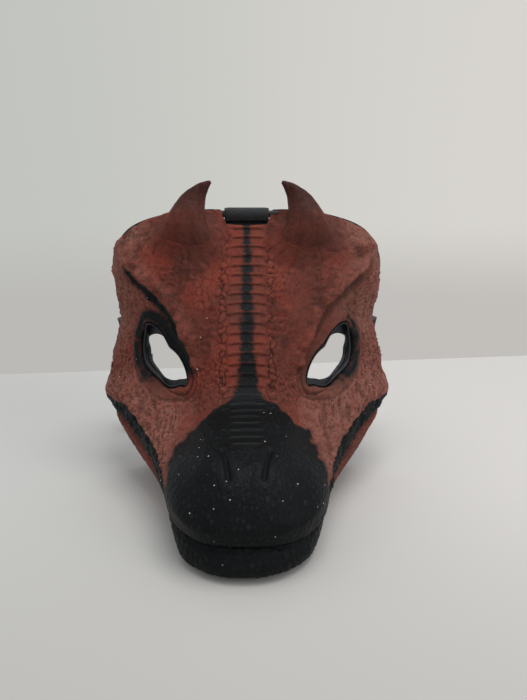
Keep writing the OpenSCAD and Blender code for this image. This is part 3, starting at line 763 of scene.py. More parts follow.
# %% Ridge of scutes down the middle
STRIP_ROWS = [2.2, 3.0, 3.95, 4.35, 5.0, 5.5, 6.15, 6.85, 8.0]
STRIP_HALF = [5.0, 12.0, 11.0, 6.6, 5.1, 4.4, 3.8, 3.1, 2.0]
strip_half = np.interp(row, STRIP_ROWS, STRIP_HALF)
SCUTE_PITCH = 7.2
scute_half = np.interp(row, [2.2, 3.2, 4.4, 6.5, 8.0], [6, 9.5, 12.5, 13, 10])
bow = 0.9*(sheet[..., 0]/12)**2
scutes_so_far = (run + bow)/SCUTE_PITCH
scute_t = scutes_so_far % 1.0
scute_number = np.floor(scutes_so_far)
scute_place = np.stack([9*np.sign(sheet[..., 0]), 5*scute_number, 0*run], -1)
scute_reach = 2.2*noise(scute_place, 4, 5)
scute_end = fade(ax - scute_reach, scute_half + 2.5, scute_half - 2.5)
on_scutes = scute_end*fade(row, 2.3, 2.7)
scute_up = np.where(scute_t < 0.12, scute_t/0.12, 1 - 0.9*(scute_t - 0.12)/0.88)
scute_gain = 0.4 + 0.6*fade(row, 3.9, 4.6)
scute_height = scute_gain*on_scutes*(1.15*scute_up - 0.25)
scute_crease = on_scutes*groove(np.minimum(scute_t, 1 - scute_t), 0.13)
scute_crest = on_scutes*groove(np.abs(scute_t - 0.17), 0.12)
print("scutes down the middle:", int(scute_number.max() - scute_number[row > 2.5].min()) + 1)

# %% [markdown]
# ### Brows, lids, horn mounds, nostrils and lips
# These are the large forms: a ridge from each horn down to the inside of the eye, a hollow behind
# it, a swollen lid, a tear duct, a mound under each horn and the rolled lip. Curves with a
# Shrinkwrap modifier could make them. Here each is a height that depends on the distance to one
# line, which needs no extra objects and lets the forms run into each other.

# %% Brow ridges and recesses
BROW_H = 5.0
brow_lump = 1 + 0.45*noise(sheet, 9, 3) + 0.3*noise(sheet, 4.5, 8)
brow_on = fade(brow_along, 0.0, 0.1)*fade(brow_along, 1.0, 0.9)
brow_reach = 3.6 + (9.5 - 3.6)*fade(off_brow, 1.2, -1.2)
brow_height = brow_on*brow_lump*BROW_H*groove(brow_d, brow_reach)
recess = (outside_brow*fade(brow_d, 1.0, 4.5)*fade(brow_d, 15.0, 8.0)
          * fade(eye_d, 6.0, 10.0)*fade(acol, 6.4, 5.0))
print("brow ridge up to", round(brow_height.max(), 1), "mm high")

# %% Lids and tear ducts
LID_WIDTH = 9.5
above_eye = fade(np.sin(eye_turn - 0.5), -0.4, 0.9)
lid = np.sin(np.pi*np.clip(eye_d/LID_WIDTH, 0, 1)**0.85)**0.8
upper_inner = fade(np.cos(eye_turn - 2.35), 0.05, 0.65)
lid_up = (3.4 + 0.8*above_eye - 3.0*upper_inner)*lid
lid_height = np.where(eye_d < LID_WIDTH, lid_up, 0) - 1.0*groove(eye_d, 1.2)
hollow = outside_brow*upper_inner*fade(brow_d, 1.2, 4.5)*fade(eye_d, 0.5, 4.0)
fold_line = np.abs(eye_d - 12.5 + noise(sheet, 9, 7))
fold_height = 0.8*groove(fold_line, 1.6)*fade(row, 5.4, 4.6)
tear = groove(tear_d, 1.5)*fade(tear_along, 0, 0.06)*fade(tear_along, 1, 0.8)
near_eye = fade(eye_d, 12.5, 9.0)
print("lids up to", round(lid_height.max(), 1), "mm high")

# %% Horn mounds
mound_rise = 4.6*fade(horn_far, 2.15, 1.0)**1.3 + 2.2*fade(horn_far, 1.28, 0.95)
mound = mound_rise*fade(horn_far, 0.6, 0.8)
near_horn = fade(horn_far, 2.3, 1.5)
fold_wave = np.abs(np.sin(horn_turn*6 + 2.5*noise(sheet, 8, 72)))
horn_folds = 0.7*fold_wave*fade(horn_far, 1.0, 1.35)*fade(horn_far, 2.5, 1.8)
mound_height = mound + horn_folds + 0.5*noise(sheet, 6, 73)*near_horn
print("horn mounds up to", round(mound_height.max(), 1), "mm high")

# %% Nostrils and lips
NOSTRIL = drawn([(1.84, 0.78), (2.05, 0.86), (2.25, 0.96), (2.42, 1.1)], 24)
nostril_d, _ = distance_to(NOSTRIL, sheet)
nostril_height = 0.25*groove(np.abs(nostril_d - 4.6), 3.6) - 1.5*groove(nostril_d, 2.5)
lip_roll = 1.3*groove(np.abs(run - 3.2), 3.6)*fade(row, 0.6, 0.2)
lip_height = lip_roll + 0.5*groove(np.abs(row - 0.42), 0.25)
print("nostrils", round(-nostril_height.min(), 1), "mm deep, lip", round(lip_height.max(), 1), "mm high")

# %% [markdown]
# ### Pebbles, cobbles, cracks and wrinkles
# The real skin changes from place to place: small pebbles on the snout, cobbles beside the scutes,
# cracks and folds on the forehead, upright wrinkles on the cheeks. One displacement texture would
# treat it all alike. Here each kind has its own noise and its own zone, and soft masks let one run
# into the next.

# %% Where each kind of skin lies
on_snout = fade(row, 4.2, 3.2)*fade(acol, 5.2, 4.2)
on_cheek = fade(acol + 1.4*fade(row, 4.2, 3.4), 5.9, 6.6)*fade(eye_d, 5, 10)
on_forehead = fade(row, 4.6, 5.4)*fade(acol, 4.2, 3.2)
calm = (1 - near_eye)*(1 - 0.75*near_horn)*(1 - on_scutes)*fade(nostril_d, 3, 6)
beside_scutes = (fade(ax, scute_half - 1, scute_half + 1)*fade(ax, scute_half + 9, scute_half + 5)
                 * fade(row, 7.9, 7.2)*fade(row, 3.6, 4.2))
lower_cheek = fade(row, 4.6, 3.7)
print("share of snout, cheek and forehead:", on_snout.mean().round(2), on_cheek.mean().round(2),
      on_forehead.mean().round(2))

# %% Scales and wrinkles
def noises(p, size, seeds):
    """Three noises side by side, to push points about."""
    return np.stack([noise(p, size, k) for k in seeds], -1)


bent = sheet + 1.6*noises(sheet, 6, (11, 12, 13))
pebble_edge, pebble_number = scales(bent, 3.1, 20)
crack_edge, _ = scales(bent*[1, 1, 0.6] + 2.5*noises(sheet, 14, (14, 15, 16)), 6.5, 30)
cobble_edge, cobble_number = scales(bent, 4.8, 40)
wrinkles = noise(bent*[0.55, 0.55, 0.09], 1.0, 50) + 0.6*noise(bent*[1.1, 1.1, 0.16], 1.0, 51)
along_net = np.stack([7*col + 0.12*(bent[..., 0] - sheet[..., 0]), 1.6*row, 0*row], -1)
vertical = wrinkles*(1 - lower_cheek) + 1.2*noise(along_net, 1.0, 52)*lower_cheek
lines = 1 - np.abs(vertical)
fine_lumps = noise(sheet, 2.6, 60) + 0.6*noise(sheet, 1.4, 61)
broad_lumps = noise(sheet, 26, 62) + 0.5*noise(sheet, 12, 63)
print("scales 3.1, 6.5 and 4.8 mm across on", bent.shape[0]*bent.shape[1], "points")

# %% Folds, and the height of the skin
patchy = fade(noise(sheet, 15, 65), 0.0, 0.5)
fold_noise = noise(bent*[0.35, 0.35, 0.8] + 0.6, 3.0, 66)
folds = (1 - np.abs(fold_noise))**3*fade(noise(sheet, 18, 67), -0.3, 0.3)
small_noise = noise(bent*[0.8, 0.8, 0.5] + 3.1, 3.0, 68)
small_folds = (1 - np.abs(small_noise))**4*fade(noise(sheet, 12, 69), -0.5, 0.2)
pebble_up = fade(pebble_edge, 0.0, 0.35)
crack_up = fade(crack_edge, 0.0, 0.12)
cobble_up = fade(cobble_edge, 0.0, 0.28)
forehead_up = 0.5*crack_up*patchy + 0.2*fine_lumps + 1.1*folds + 0.35*small_folds*patchy
elsewhere_up = 0.45*fine_lumps + 0.5*(pebble_up - 0.6) + 0.5*small_folds
skin_height = calm*(
    on_snout*(0.22*pebble_up - 0.12 + 0.1*pebble_number + 0.1*fine_lumps)
    + on_forehead*(1 - on_snout)*forehead_up
    + beside_scutes*(0.8*cobble_up - 0.5 + 0.3*cobble_number)
    + on_cheek*(1.2*lines - 0.7 + 0.5*small_folds)
    + (1 - on_snout)*(1 - on_forehead)*elsewhere_up)
near_edge = fade(np.minimum((8 - acol)*1.2, rim_row(face_c) - row), 0.9, 0.1)
edge_lumps = near_edge*fade(acol, 2.4, 3.2)
broad_height = 0.9*broad_lumps*(1 - near_eye) + 2.3*edge_lumps*noise(sheet, 10, 64)
print("skin from", round(skin_height.min(), 2), "to", round(skin_height.max(), 2), "mm")

# %% Adding up the relief
row_steps = np.linalg.norm(np.gradient(sheet, axis=0), axis=-1)
row_length = row_steps/np.maximum(np.gradient(row, axis=0), 1e-6)
bare_width = 1.5 + 1.7*fade(acol, 2.2, 3.2)
bare = fade((rim_row(face_c) - row)*row_length - bare_width, 0.5, -0.3)
features = (scute_height + brow_height - 2.2*recess + lid_height - 0.9*tear
            + mound_height + nostril_height + lip_height + fold_height - 1.6*hollow)
textured = features + skin_height + broad_height
at_rear = fade(np.abs(face_c), 7.6, 7.95)
height = textured*(1 - bare)*(1 - at_rear) - 0.7*bare
off_horn = fade(horn_far, 1.1, 1.5)
# Hollows take dark paint and painted shade, crests take pale paint and painted highlight.
hollows, rubbed_and_highlit = (share*off_horn for share in wiped_and_shaded(height))
outer = sheet + sheet_normal*height[..., None]
outer[..., 2] -= 0.8*fade(row, 0.3, 0.0)*fade(acol, 7.6, 6.8)
wall = np.maximum(SHELL_WALL, 1.2 - height)
inner = (sheet - sheet_normal*wall[..., None])[::GRID_STEP, ::GRID_STEP]
print("relief from", round(height.min(), 2), "to", round(height.max(), 2), "mm")

# %% [markdown]
# ### Where the paint goes
# An airbrush leaves soft, slightly ragged edges, and a wiping cloth leaves dark paint in the
# creases and rubs the crests pale. Both could be painted by hand in Texture Paint mode. Here the
# distances and edges that made the relief also say where the paint goes, with some noise for the
# wander of the airbrush. The dark creases and pale crests are also painted shade and painted
# highlight, and the black behind the brow ridges is also painted shadow.

# %% Soot on the snout, the lip and the strip
SNOUT_ROWS = [0.9, 1.15, 1.68, 2.43, 3.15, 3.6, 3.95, 4.15]
SNOUT_COLS = [4.7, 4.3, 4.45, 4.33, 4.0, 2.5, 1.0, 0.3]
LIP_COLS = [4.3, 4.7, 5.45, 6.35, 6.93, 7.75, 8]
LIP_ROWS = [1.1, 1.05, 1.45, 1.48, 1.38, 0.68, 0.5]
snout_col = np.interp(row, SNOUT_ROWS, SNOUT_COLS)
lip_row = np.interp(acol, LIP_COLS, LIP_ROWS)
ragged = noise(sheet, 7, 70) + 0.5*noise(sheet, 3, 71)
soot_snout = fade((snout_col - acol)*11 + 3.0*ragged, -5.0, 4.0)*fade(row, 4.25, 4.0)
soot_lip = fade((lip_row - row)*18 + 1.6*ragged, -2.0, 2.0)*fade(acol, 4.2, 4.6)
soot_front = fade(row, 1.05, 0.85)*fade(acol, 4.9, 4.6)
strip_edge = strip_half - ax + 0.5*ragged - 0.8*scute_crease
# Scute crests in the black strip are paler: paint worn by wiping, and also painted highlight.
rubbed_and_highlit_scutes = 1 - 0.55*scute_crest*fade(row, 4.4, 5.2)
soot_strip = fade(strip_edge, -4.0, 3.2)*rubbed_and_highlit_scutes*fade(row, 7.98, 7.7)
print("share of the face under snout soot:", soot_snout.mean().round(2))

# %% Soot round the eyes, and soot with painted shadow behind the brows
outer_side = fade(eye_turn, -1.4, -0.5)*fade(eye_turn, 2.6, 1.2)
soot_eye = outer_side*fade(eye_d + 1.2*ragged, 15.0, 2.5)
# Behind the brow ridges the black is airbrush paint and also painted shadow under the overhanging ridge;
# by_side makes it stronger on the left, away from the side lamp.
soot_recess_soft = outside_brow*fade(brow_d, 0.4, 1.8)*fade(brow_d, 17.0, 7.0)*fade(acol, 6.6, 5.0)
recess_edge = fade(brow_d + 2.0*ragged, 21.0 - 7*brow_along, 12.0 - 6*brow_along)
recess_soot = outside_brow*recess_edge*fade(brow_along, 0.95, 0.78)
between = soot_recess_soft*fade(eye_d, 22, 11)*0.62
by_side = 0.95 - 0.75*right
soot_recess = np.maximum.reduce([recess_soot, hollow*fade(eye_d, 13, 6), between])*by_side
soot_inner_edge = outside_brow*upper_inner*fade(eye_d, 13, 4)*(0.75 - 0.65*right)
soot = np.maximum.reduce([
    soot_snout, soot_lip, soot_front, soot_strip*0.9, soot_eye*0.72, soot_recess,
    soot_inner_edge, 0.6*fade(eye_d, 3.0, 0.5), bare])
print("share of the face under any soot:", soot.mean().round(2))

# %% Creases and crests (wiped paint, painted shade and painted highlight), and dust
# Creases, pits and brow recesses darker and crests paler: paint from wiping, and also painted shade and
# painted highlight.
crease = np.maximum.reduce([
    scute_crease*0.9,
    tear,
    0.6*on_forehead*fade(folds, 0.4, 0.8)*calm,
    groove(nostril_d, 3.0),
    calm*on_snout*(1 - fade(pebble_edge, 0.0, 0.18))*0.5,
    calm*on_forehead*(1 - on_snout)*(1 - fade(crack_edge, 0.0, 0.05))*0.45,
    calm*beside_scutes*(1 - fade(cobble_edge, 0.0, 0.14)),
    calm*on_cheek*fade(lines, 0.55, 0.2)*(0.8 - 0.4*lower_cheek),
    0.5*fade(brow_d, 4.5, 2.5)*outside_brow,
    0.6*hollows,
    0.75*right*recess,
    0.4*fade(eye_d, 9, 4)*fade(row, 5.2, 4.6),
    0.35*soot_recess_soft])
crest = np.maximum.reduce([
    scute_crest*0.9,
    calm*on_snout*fade(pebble_edge, 0.3, 0.7)*0.5,
    calm*on_cheek*fade(lines, 0.8, 1.0)*0.6,
    beside_scutes*calm*fade(cobble_edge, 0.25, 0.6)*0.5,
    0.55*rubbed_and_highlit*(1 - 0.6*on_snout)])
dust_everywhere = np.clip(
    0.95*fade(row, 5.4, 6.8)*fade(acol, 2.3, 3.8) + 0.3*right*fade(acol, 2.2, 4.4) + 0.6*on_cheek
    + 0.5*fade(row, 4.8, 4.0)*fade(acol, 3.0, 4.5) + 0.9*fade(row, 7.0, 7.6)*fade(acol, 1.8, 2.6), 0, 1)
dust = dust_everywhere*(1 - 0.4*near_horn*fade(acol, 2.7, 1.9))
horny = 0.42*near_horn*(1 - 0.7*fade(acol, 1.9, 2.7))
print("mean crease, crest and dust:", crease.mean().round(2), crest.mean().round(2), dust.mean().round(2))

# %% The face as a piece
coarse_r = face_r[::GRID_STEP, ::GRID_STEP]
coarse_c = face_c[::GRID_STEP, ::GRID_STEP]
cell_r = (coarse_r[:-1, :-1] + coarse_r[1:, 1:])/2
cell_c = np.abs(coarse_c[:-1, :-1] + coarse_c[1:, 1:])/2
hole = (np.abs(cell_r - EYE_ROW) < 1) & (np.abs(cell_c - EYE_COL) < 1)
points, faces = thick_sheet(outer, inner, GRID_STEP, hole)
inner_soot = np.ones(inner.shape[:2])
make_piece("face_skin", points, faces, skin_paint, "head", "painted_shell", ["upper_shell"],
           soot=np.concatenate([soot.ravel(), inner_soot.ravel()]),
           crease=crease, crest=crest, dust=dust, horn=horny)

# %% [markdown]
# ## The lower jaw
# The jaw is the same rubber, moulded as one scoop with a flat floor, and it hangs on two pins in
# its ears. It is drawn on its own net in the same way, with coarser pebbles in front, wrinkles
# toward the ears and a rolled lip. A separate sculpt would work too, but on its net the lip keeps
# its even gap to the face when the jaw is shut. Its front and floor are airbrushed black.

# %% The jaw's grid and relief
jaw_cols = uneven([24, 24, 24, 24, 24, 32, 40, 40])
all_jaw_cols = np.concatenate([-jaw_cols[:0:-1], jaw_cols])
jaw_q, jaw_c = np.meshgrid(uneven([20, 20, 24, 16]), all_jaw_cols, indexing="ij")
jaw_sheet = patch(JAW_NET, jaw_q, jaw_c)
jaw_normal = -grid_normals(jaw_sheet)
jaw_ac = np.abs(jaw_c)
jaw_bent = jaw_sheet + 1.4*noises(jaw_sheet, 6, (81, 82, 83))
jaw_pebble, jaw_number = scales(jaw_bent, 3.8, 84)
jaw_lines = 1 - np.abs(noise(jaw_bent*[0.5, 0.5, 0.1], 1.0, 86))
above_floor = fade(jaw_q, 2.6, 1.8)
pebbled = 0.35*fade(jaw_pebble, 0, 0.35) - 0.2 + 0.15*jaw_number
jaw_skin_height = above_floor*(pebbled + 0.35*jaw_lines*fade(jaw_ac, 5, 6.5))
jaw_lip = 0.8*groove(np.abs(jaw_q - 0.35), 0.35)
jaw_relief = jaw_skin_height + jaw_lip + 0.35*noise(jaw_sheet, 18, 87)*above_floor
jaw_height = jaw_relief*fade(jaw_ac, 8.0, 7.8)
print("jaw grid:", jaw_q.shape, "relief up to", round(jaw_height.max(), 2), "mm")

# %% The jaw as a piece
jaw_outer = jaw_sheet + jaw_normal*jaw_height[..., None]
lip_up = 0.7*fade(jaw_q, 0.3, 0.0)*fade(jaw_ac, 7.6, 6.8)
jaw_outer[..., 2] = np.maximum(jaw_outer[..., 2] + lip_up, 0)
jaw_inner = (jaw_sheet - jaw_normal*SHELL_WALL)[::GRID_STEP, ::GRID_STEP]
jaw_soot = np.maximum(fade(jaw_ac*11 + 3*noise(jaw_sheet, 8, 88), 66, 60), fade(jaw_q, 2.0, 2.6))
points, faces = thick_sheet(jaw_outer, jaw_inner, GRID_STEP)
jaw_inside = np.ones(jaw_inner.shape[:2])
# The jaw's darker pebble gaps and paler pebble tops are paint from wiping and also painted shade and
# painted highlight.
make_piece("jaw_skin", points, faces, skin_paint, "jaw", "painted_jaw", ["lower_jaw"],
           soot=np.concatenate([jaw_soot.ravel(), jaw_inside.ravel()]),
           crease=0.5*above_floor*(1 - fade(jaw_pebble, 0, 0.18)),
           crest=above_floor*fade(jaw_pebble, 0.3, 0.7)*0.3, dust=0.2*fade(jaw_ac, 6, 7))

# %% [markdown]
# ## The horns
# Each horn is a short moulded cone, screwed on from behind, that leans outward and turns up at its
# tip. It is a stack of rings: the first few follow the sheet so that the foot sits on its mound,
# the rest follow a curved axis and grow narrower, and lumps stretched along the horn stand for its
# growth ridges. A swept curve would make the same cone, but its foot wouldn't follow the forehead.
# The paint darkens from the foot to the tip.

# %% Rings of a horn
HORN_H = 39.0
HORN_W = 29.0
HORN_AXIS = np.array([
    [0.0, -0.13, 0.28, 1, 0.62], [-0.02, -0.06, 0.48, 0.86, 0.72], [-0.09, 0.02, 0.68, 0.68, 0.66],
    [-0.2, 0.03, 0.84, 0.48, 0.48], [-0.33, 0, 0.96, 0.28, 0.28], [-0.43, -0.03, 1.02, 0.12, 0.1]])
around = np.linspace(0, 2*np.pi, 64, endpoint=False)


def foot_ring(reach, lift):
    """A ring that follows the sheet round the horn's foot, lifted off it."""
    r = HORN_AT[0] + HORN_FOOT[0]*reach*np.sin(around)
    c = HORN_AT[1] + HORN_FOOT[1]*reach*np.cos(around)
    p = patch(FACE_NET, r, c)
    n = unit(np.cross(patch(FACE_NET, r, c + 0.05) - p, patch(FACE_NET, r + 0.05, c) - p))
    return p + n*lift


def axis_ring(foot, t):
    """A ring round the horn's axis: its middle, half width and half depth are splines of t."""
    padded = np.vstack([2*HORN_AXIS[0] - HORN_AXIS[1], HORN_AXIS, 2*HORN_AXIS[-1] - HORN_AXIS[-2]])
    k = min(int(t), len(HORN_AXIS) - 2)
    h = sum(spline_weights(np.array(t - k))[a]*padded[k + a] for a in range(4))
    lean = math.radians(60*max(0, h[2] - 0.6))
    u = np.array([math.cos(lean), 0, math.sin(lean)])
    return (foot + h[:3]*HORN_H + np.outer(np.cos(around), u)*max(h[3], 0.03)*HORN_W/2
            + np.outer(np.sin(around), [0, 1, 0])*max(h[4], 0.03)*HORN_W/2.4)


print("horns stand on the net at", HORN_AT, "and are", HORN_H, "mm long")

# %% The two horns
rings = [foot_ring(*given) for given in ((1.3, 1.5), (1.2, 3.2), (1.1, 5.2), (1.0, 7.3))]
foot = patch(FACE_NET, *HORN_AT) - [0, 2, 4]
rings += [axis_ring(foot, t) for t in np.linspace(0, len(HORN_AXIS) - 1, 40)]
for shrink in (0.75, 0.4, 0.1):
    middle = rings[-1].mean(axis=0)
    rings.append(middle + (rings[-1] - middle)*shrink + [-0.25, 0, 0.35])
rings = np.array(rings)
lumps = (0.45*noise(rings*[1, 1, 0.35], 3.2, 90) + 0.5*noise(rings, 10, 91)
         + 0.25*noise(rings*[1.2, 1.2, 0.3], 1.8, 92))
centre = rings.mean(axis=1, keepdims=True)
less_at_tip = np.linspace(1, 0.2, len(rings))[:, None, None]
horn = rings + unit(rings - centre)*lumps[..., None]*less_at_tip
share = np.linspace(0, 1, len(rings))[:, None] + 0*lumps
# The horns' darker hollows between lumps and paler lump tops are paint from wiping and also painted shade
# and painted highlight.
for side, name in ((1, "left"), (-1, "right")):
    points, faces = rings_to_mesh(horn*[side, 1, 1])
    make_piece("horn_skin_" + name, points, faces, horn_paint, "head", "horn_paint", ["horn_" + name],
               soot=fade(share, 0.9, 1.0)*0.3, crease=fade(lumps, -0.15, -0.5)*0.5,
               crest=fade(lumps, 0.2, 0.5)*0.3, dust=0.1*fade(lumps, -0.2, 0.4),
               horn=0.55 + 0.4*fade(share, 0.1, 0.45))

# %% [markdown]
# ## Moulded black plastic
# The inner frame, the rims in the eye openings, the chin cup, the strap loops and the sliders are
# injection moulded: satin black, a fine spark-eroded grain and edges rounded by the mould. Plain
# parts keep their CAD shape and only get that finish and a small rounding; the rims and the frame
# follow the sculpted face, so they are drawn again, finer.

# %% Black plastic, and rounded edges on the plain CAD parts
def build_plastic(name, colour, roughness):
    """Satin black with cloudy wear, fine grain and a little dust."""
    material, tree, shader, place = new_material(name)
    clouds = use_group(tree, CLOUDY, Vector=place, Scale=45.0)
    skin = use_group(tree, SKIN_GRAIN, Vector=place, Scale=2.2)
    shade = mixed(tree, times(tree, clouds["Mask"], 0.4), colour, srgb(40, 42, 45))
    specks = use_group(tree, SPECKS, Vector=place, Scale=420.0, Amount=0.006)
    wire(tree, shader.inputs["Base Color"], mixed(tree, specks["Mask"], shade, srgb(150, 148, 144)))
    uneven_gloss = ranged(tree, clouds["Fine"], 0, 1, roughness - 0.06, roughness + 0.08)
    wire(tree, shader.inputs["Roughness"], uneven_gloss)
    shader.inputs["Specular IOR Level"].default_value = 0.35
    bumped(tree, shader, skin["Height"], 0.08, 0.6)
    return material


def finish_cad(names, material, rounding_mm):
    """Gives CAD parts a finish and a small rounding on their edges."""
    for name in names:
        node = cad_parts[name]
        node.data.materials.clear()
        node.data.materials.append(material)
        bevel = node.modifiers.new("rounded_edges", "BEVEL")
        bevel.width = rounding_mm*MM
        bevel.segments = 2
        bevel.limit_method = "ANGLE"
        bevel.angle_limit = math.radians(40)


black_plastic = build_plastic("black_plastic", srgb(22, 24, 27), 0.42)
plain_parts = ["chin_cup", "side_loop_left", "side_loop_right", "slider_top", "slider_left", "slider_right"]
finish_cad(plain_parts, black_plastic, 0.5)
finish_cad(["strap_bar"], black_plastic, 0.4)
print("plain plastic parts:", len(plain_parts) + 1)

# %% Rims in the eye openings
RIM_EDGE = [(0.5, 2.8), (-1.8, 2.8), (-1.8, 3.6), (0.5, 3.6), (0.5, None), (1.0, None), (1.9, None),
            (2.1, None), (2.1, 0.3), (1.9, -0.1), (1.4, -0.3), (0.8, -0.3), (0.5, 0.0)]
RIM_ROUND = {4: -0.3, 5: 0.0, 6: 0.0, 7: -0.3}
rim_turn = np.linspace(0, 2*np.pi, 240, endpoint=False)
rim_square = 1/np.maximum(np.abs(np.cos(rim_turn)), np.abs(np.sin(rim_turn)))
rim_r, rim_c = eye_bend(EYE_ROW + np.sin(rim_turn)*rim_square, EYE_COL + np.cos(rim_turn)*rim_square)
rim_edge, rim_out = sheet_at(FACE_NET, rim_r, rim_c)
rim_in = unit(patch(FACE_NET, EYE_ROW, EYE_COL) - rim_edge)
rim_depth = 3.6 + 5.4*(1 - 0.9*smooth(0.5 + np.cos(rim_turn)))
rim_rings = []
for k, (step_in, depth) in enumerate(RIM_EDGE):
    down = rim_depth + RIM_ROUND[k] if depth is None else depth + 0*rim_depth
    rim_rings.append(rim_edge + rim_in*step_in - rim_out*down[:, None])
rim_rings = np.stack(rim_rings, 1)
for side, name in ((1, "left"), (-1, "right")):
    points, faces = rings_to_mesh(rim_rings*[side, 1, 1], close=True)
    make_piece("eye_rim_skin_" + name, points, faces, black_plastic, "head", "black_plastic",
               ["eye_rim_" + name])

# %% The inner frame's sheet and its openings
FRAME_TOP = 7.6
FRAME_BEND = 6.8
FRAME_RISE = 0.8
half = np.concatenate([np.linspace(0, 4, 49)[:-1], np.linspace(4, 6, 33)[:-1], np.linspace(6, 6.3, 4)])
frame_rows = np.concatenate([
    np.linspace(3.5, 4, 9)[:-1], np.linspace(4, 6, 33)[:-1], np.linspace(6, FRAME_TOP, 33)])
frame_r, frame_c = np.meshgrid(frame_rows, np.concatenate([-half[:0:-1], half]), indexing="ij")
frame_ac = np.abs(frame_c)
frame_turn = np.arctan2(frame_r - EYE_ROW, frame_ac - EYE_COL)
above = 0.45*fade(np.cos(frame_turn - 2.15), 0.0, 1.0)
below = 0.4*fade(np.cos(frame_turn + 1.7), 0.1, 1.0)
outside = 0.26*fade(np.cos(frame_turn - 0.05), 0.6, 1.0)
reach_nearby = sum(eye_reach(frame_turn + k) for k in (-0.4, 0.0, 0.4))/3
opening = (1.1 - above - below - outside)*reach_nearby/eye_reach(frame_turn)
bent_r, bent_c = eye_bend(frame_r, frame_c, opening)
frame_top = FRAME_TOP - 0.6*smooth((frame_ac - 4.2)/0.8)
low = frame_r <= FRAME_BEND
top_r = FRAME_BEND + (frame_r - FRAME_BEND)*(frame_top - FRAME_BEND)/FRAME_RISE
frame_sheet = patch(FACE_NET, np.where(low, bent_r, top_r), np.where(low, bent_c, frame_c))
frame_out = grid_normals(frame_sheet)
print("frame grid:", frame_r.shape, "eye openings from", round(opening.min(), 2), "of the shell's")

# %% The ladder of shallow panels, and the frame as a piece
rung = np.abs((frame_r - 3.85)/0.55 % 1 - 0.5)*2
panels = fade(rung, 0.35, 0.2)*fade(frame_ac, 3.6, 3.3)*fade(frame_r, 7.45, 7.3)
post = fade(np.abs(frame_ac - 1.9), 0.2, 0.3)*fade(frame_ac, 0.12, 0.25)
inner_depth = FRAME_DEPTH + FRAME_WALL - 0.7*panels*post
mid_r = (frame_r[:-1, :-1] + frame_r[1:, 1:])/2
mid_c = np.abs(frame_c[:-1, :-1] + frame_c[1:, 1:])/2
frame_hole = (np.abs(mid_r - EYE_ROW) < 1) & (np.abs(mid_c - EYE_COL) < 1)
points, faces = thick_sheet(frame_sheet - frame_out*FRAME_DEPTH,
                            frame_sheet - frame_out*inner_depth[..., None], 1, frame_hole)
make_piece("frame_skin", points, faces, black_plastic, "head", "black_plastic", ["face_frame"])

# %% [markdown]
# ## Screws and pins
# Small zinc-plated pan heads with a cross recess hold the frame, the horns, the loops and the chin
# cup. The recess is real geometry, pressed into the head's dome. A texture could only draw the
# cross; a dent in the rings costs little and catches the light.

# %% Steel
def build_steel(name):
    """Zinc-plated steel, worn brighter and duller in small clouds."""
    material, tree, shader, place = new_material(name)
    worn = noise_node(tree, place, 900.0, 4.0, 0.7)
    wire(tree, shader.inputs["Base Color"], mixed(tree, worn, srgb(176, 174, 170), srgb(204, 202, 198)))
    shader.inputs["Metallic"].default_value = 1.0
    wire(tree, shader.inputs["Roughness"], ranged(tree, worn, 0.3, 0.7, 0.28, 0.46))
    bumped(tree, shader, worn, 0.02, 0.5)
    return material


steel = build_steel("zinc_steel")
finish_cad(["hinge_pin_left", "hinge_pin_right"], steel, 0.3)
print("steel on the two hinge pins")

# %% Screw heads with a cross recess
HEAD_R = 3.0
HEAD_T = 1.6
SHANK_R = 1.5
RECESS_DEPTH = 0.75


def screw(at, way, length):
    """A pan-head screw. at is the place under its head and way points out of the head's top."""
    side = unit(np.cross(way, [0.3, 0.8, 0.5]))
    turn = np.linspace(0, 2*np.pi, 48, endpoint=False)
    profile = [(0.5, -length), (SHANK_R, -length + 0.9), (SHANK_R, 0.0)]
    profile += [(HEAD_R - 0.15, 0.0), (HEAD_R, 0.15)]
    profile += [(HEAD_R*k, HEAD_T*(0.5 + 0.5*math.sqrt(1 - k*k))) for k in np.linspace(1, 0.03, 18)]
    rings = []
    for radius, height in profile:
        u = radius*np.cos(turn)
        v = radius*np.sin(turn)
        cross = fade(np.minimum(np.abs(u), np.abs(v)), 0.5, 0.3)*fade(radius, 2.1, 1.7)
        rise = height - RECESS_DEPTH*cross if height > 0.5 else height + 0*u
        rings.append(at + u[:, None]*side + v[:, None]*np.cross(way, side) + rise[:, None]*way)
    return rings_to_mesh(rings)


def both_sides(parts):
    """Meshes, and the same ones mirrored to the other side."""
    return list(parts) + [(points*[-1, 1, 1], faces) for points, faces in parts]


print("one screw has", len(screw(np.zeros(3), np.array([0, 0, 1.0]), 5.0)[1]), "faces")

# %% Screws in their places
SCREW_DEPTH = FRAME_DEPTH + FRAME_WALL + 0.6
CUP_TOP = 5.9


def frame_screw(r, c, length):
    """A screw from inside through the frame at a row and column of the face."""
    at, out = sheet_at(FACE_NET, r, c, SCREW_DEPTH)
    return screw(at, -out, length)


def chin_screw(q, c):
    """A screw down through the chin cup at a row and column of the jaw."""
    at = patch(JAW_NET, q, c)
    return screw(np.array([at[0], at[1], CUP_TOP]), np.array([0, 0, 1.0]), 5.1)


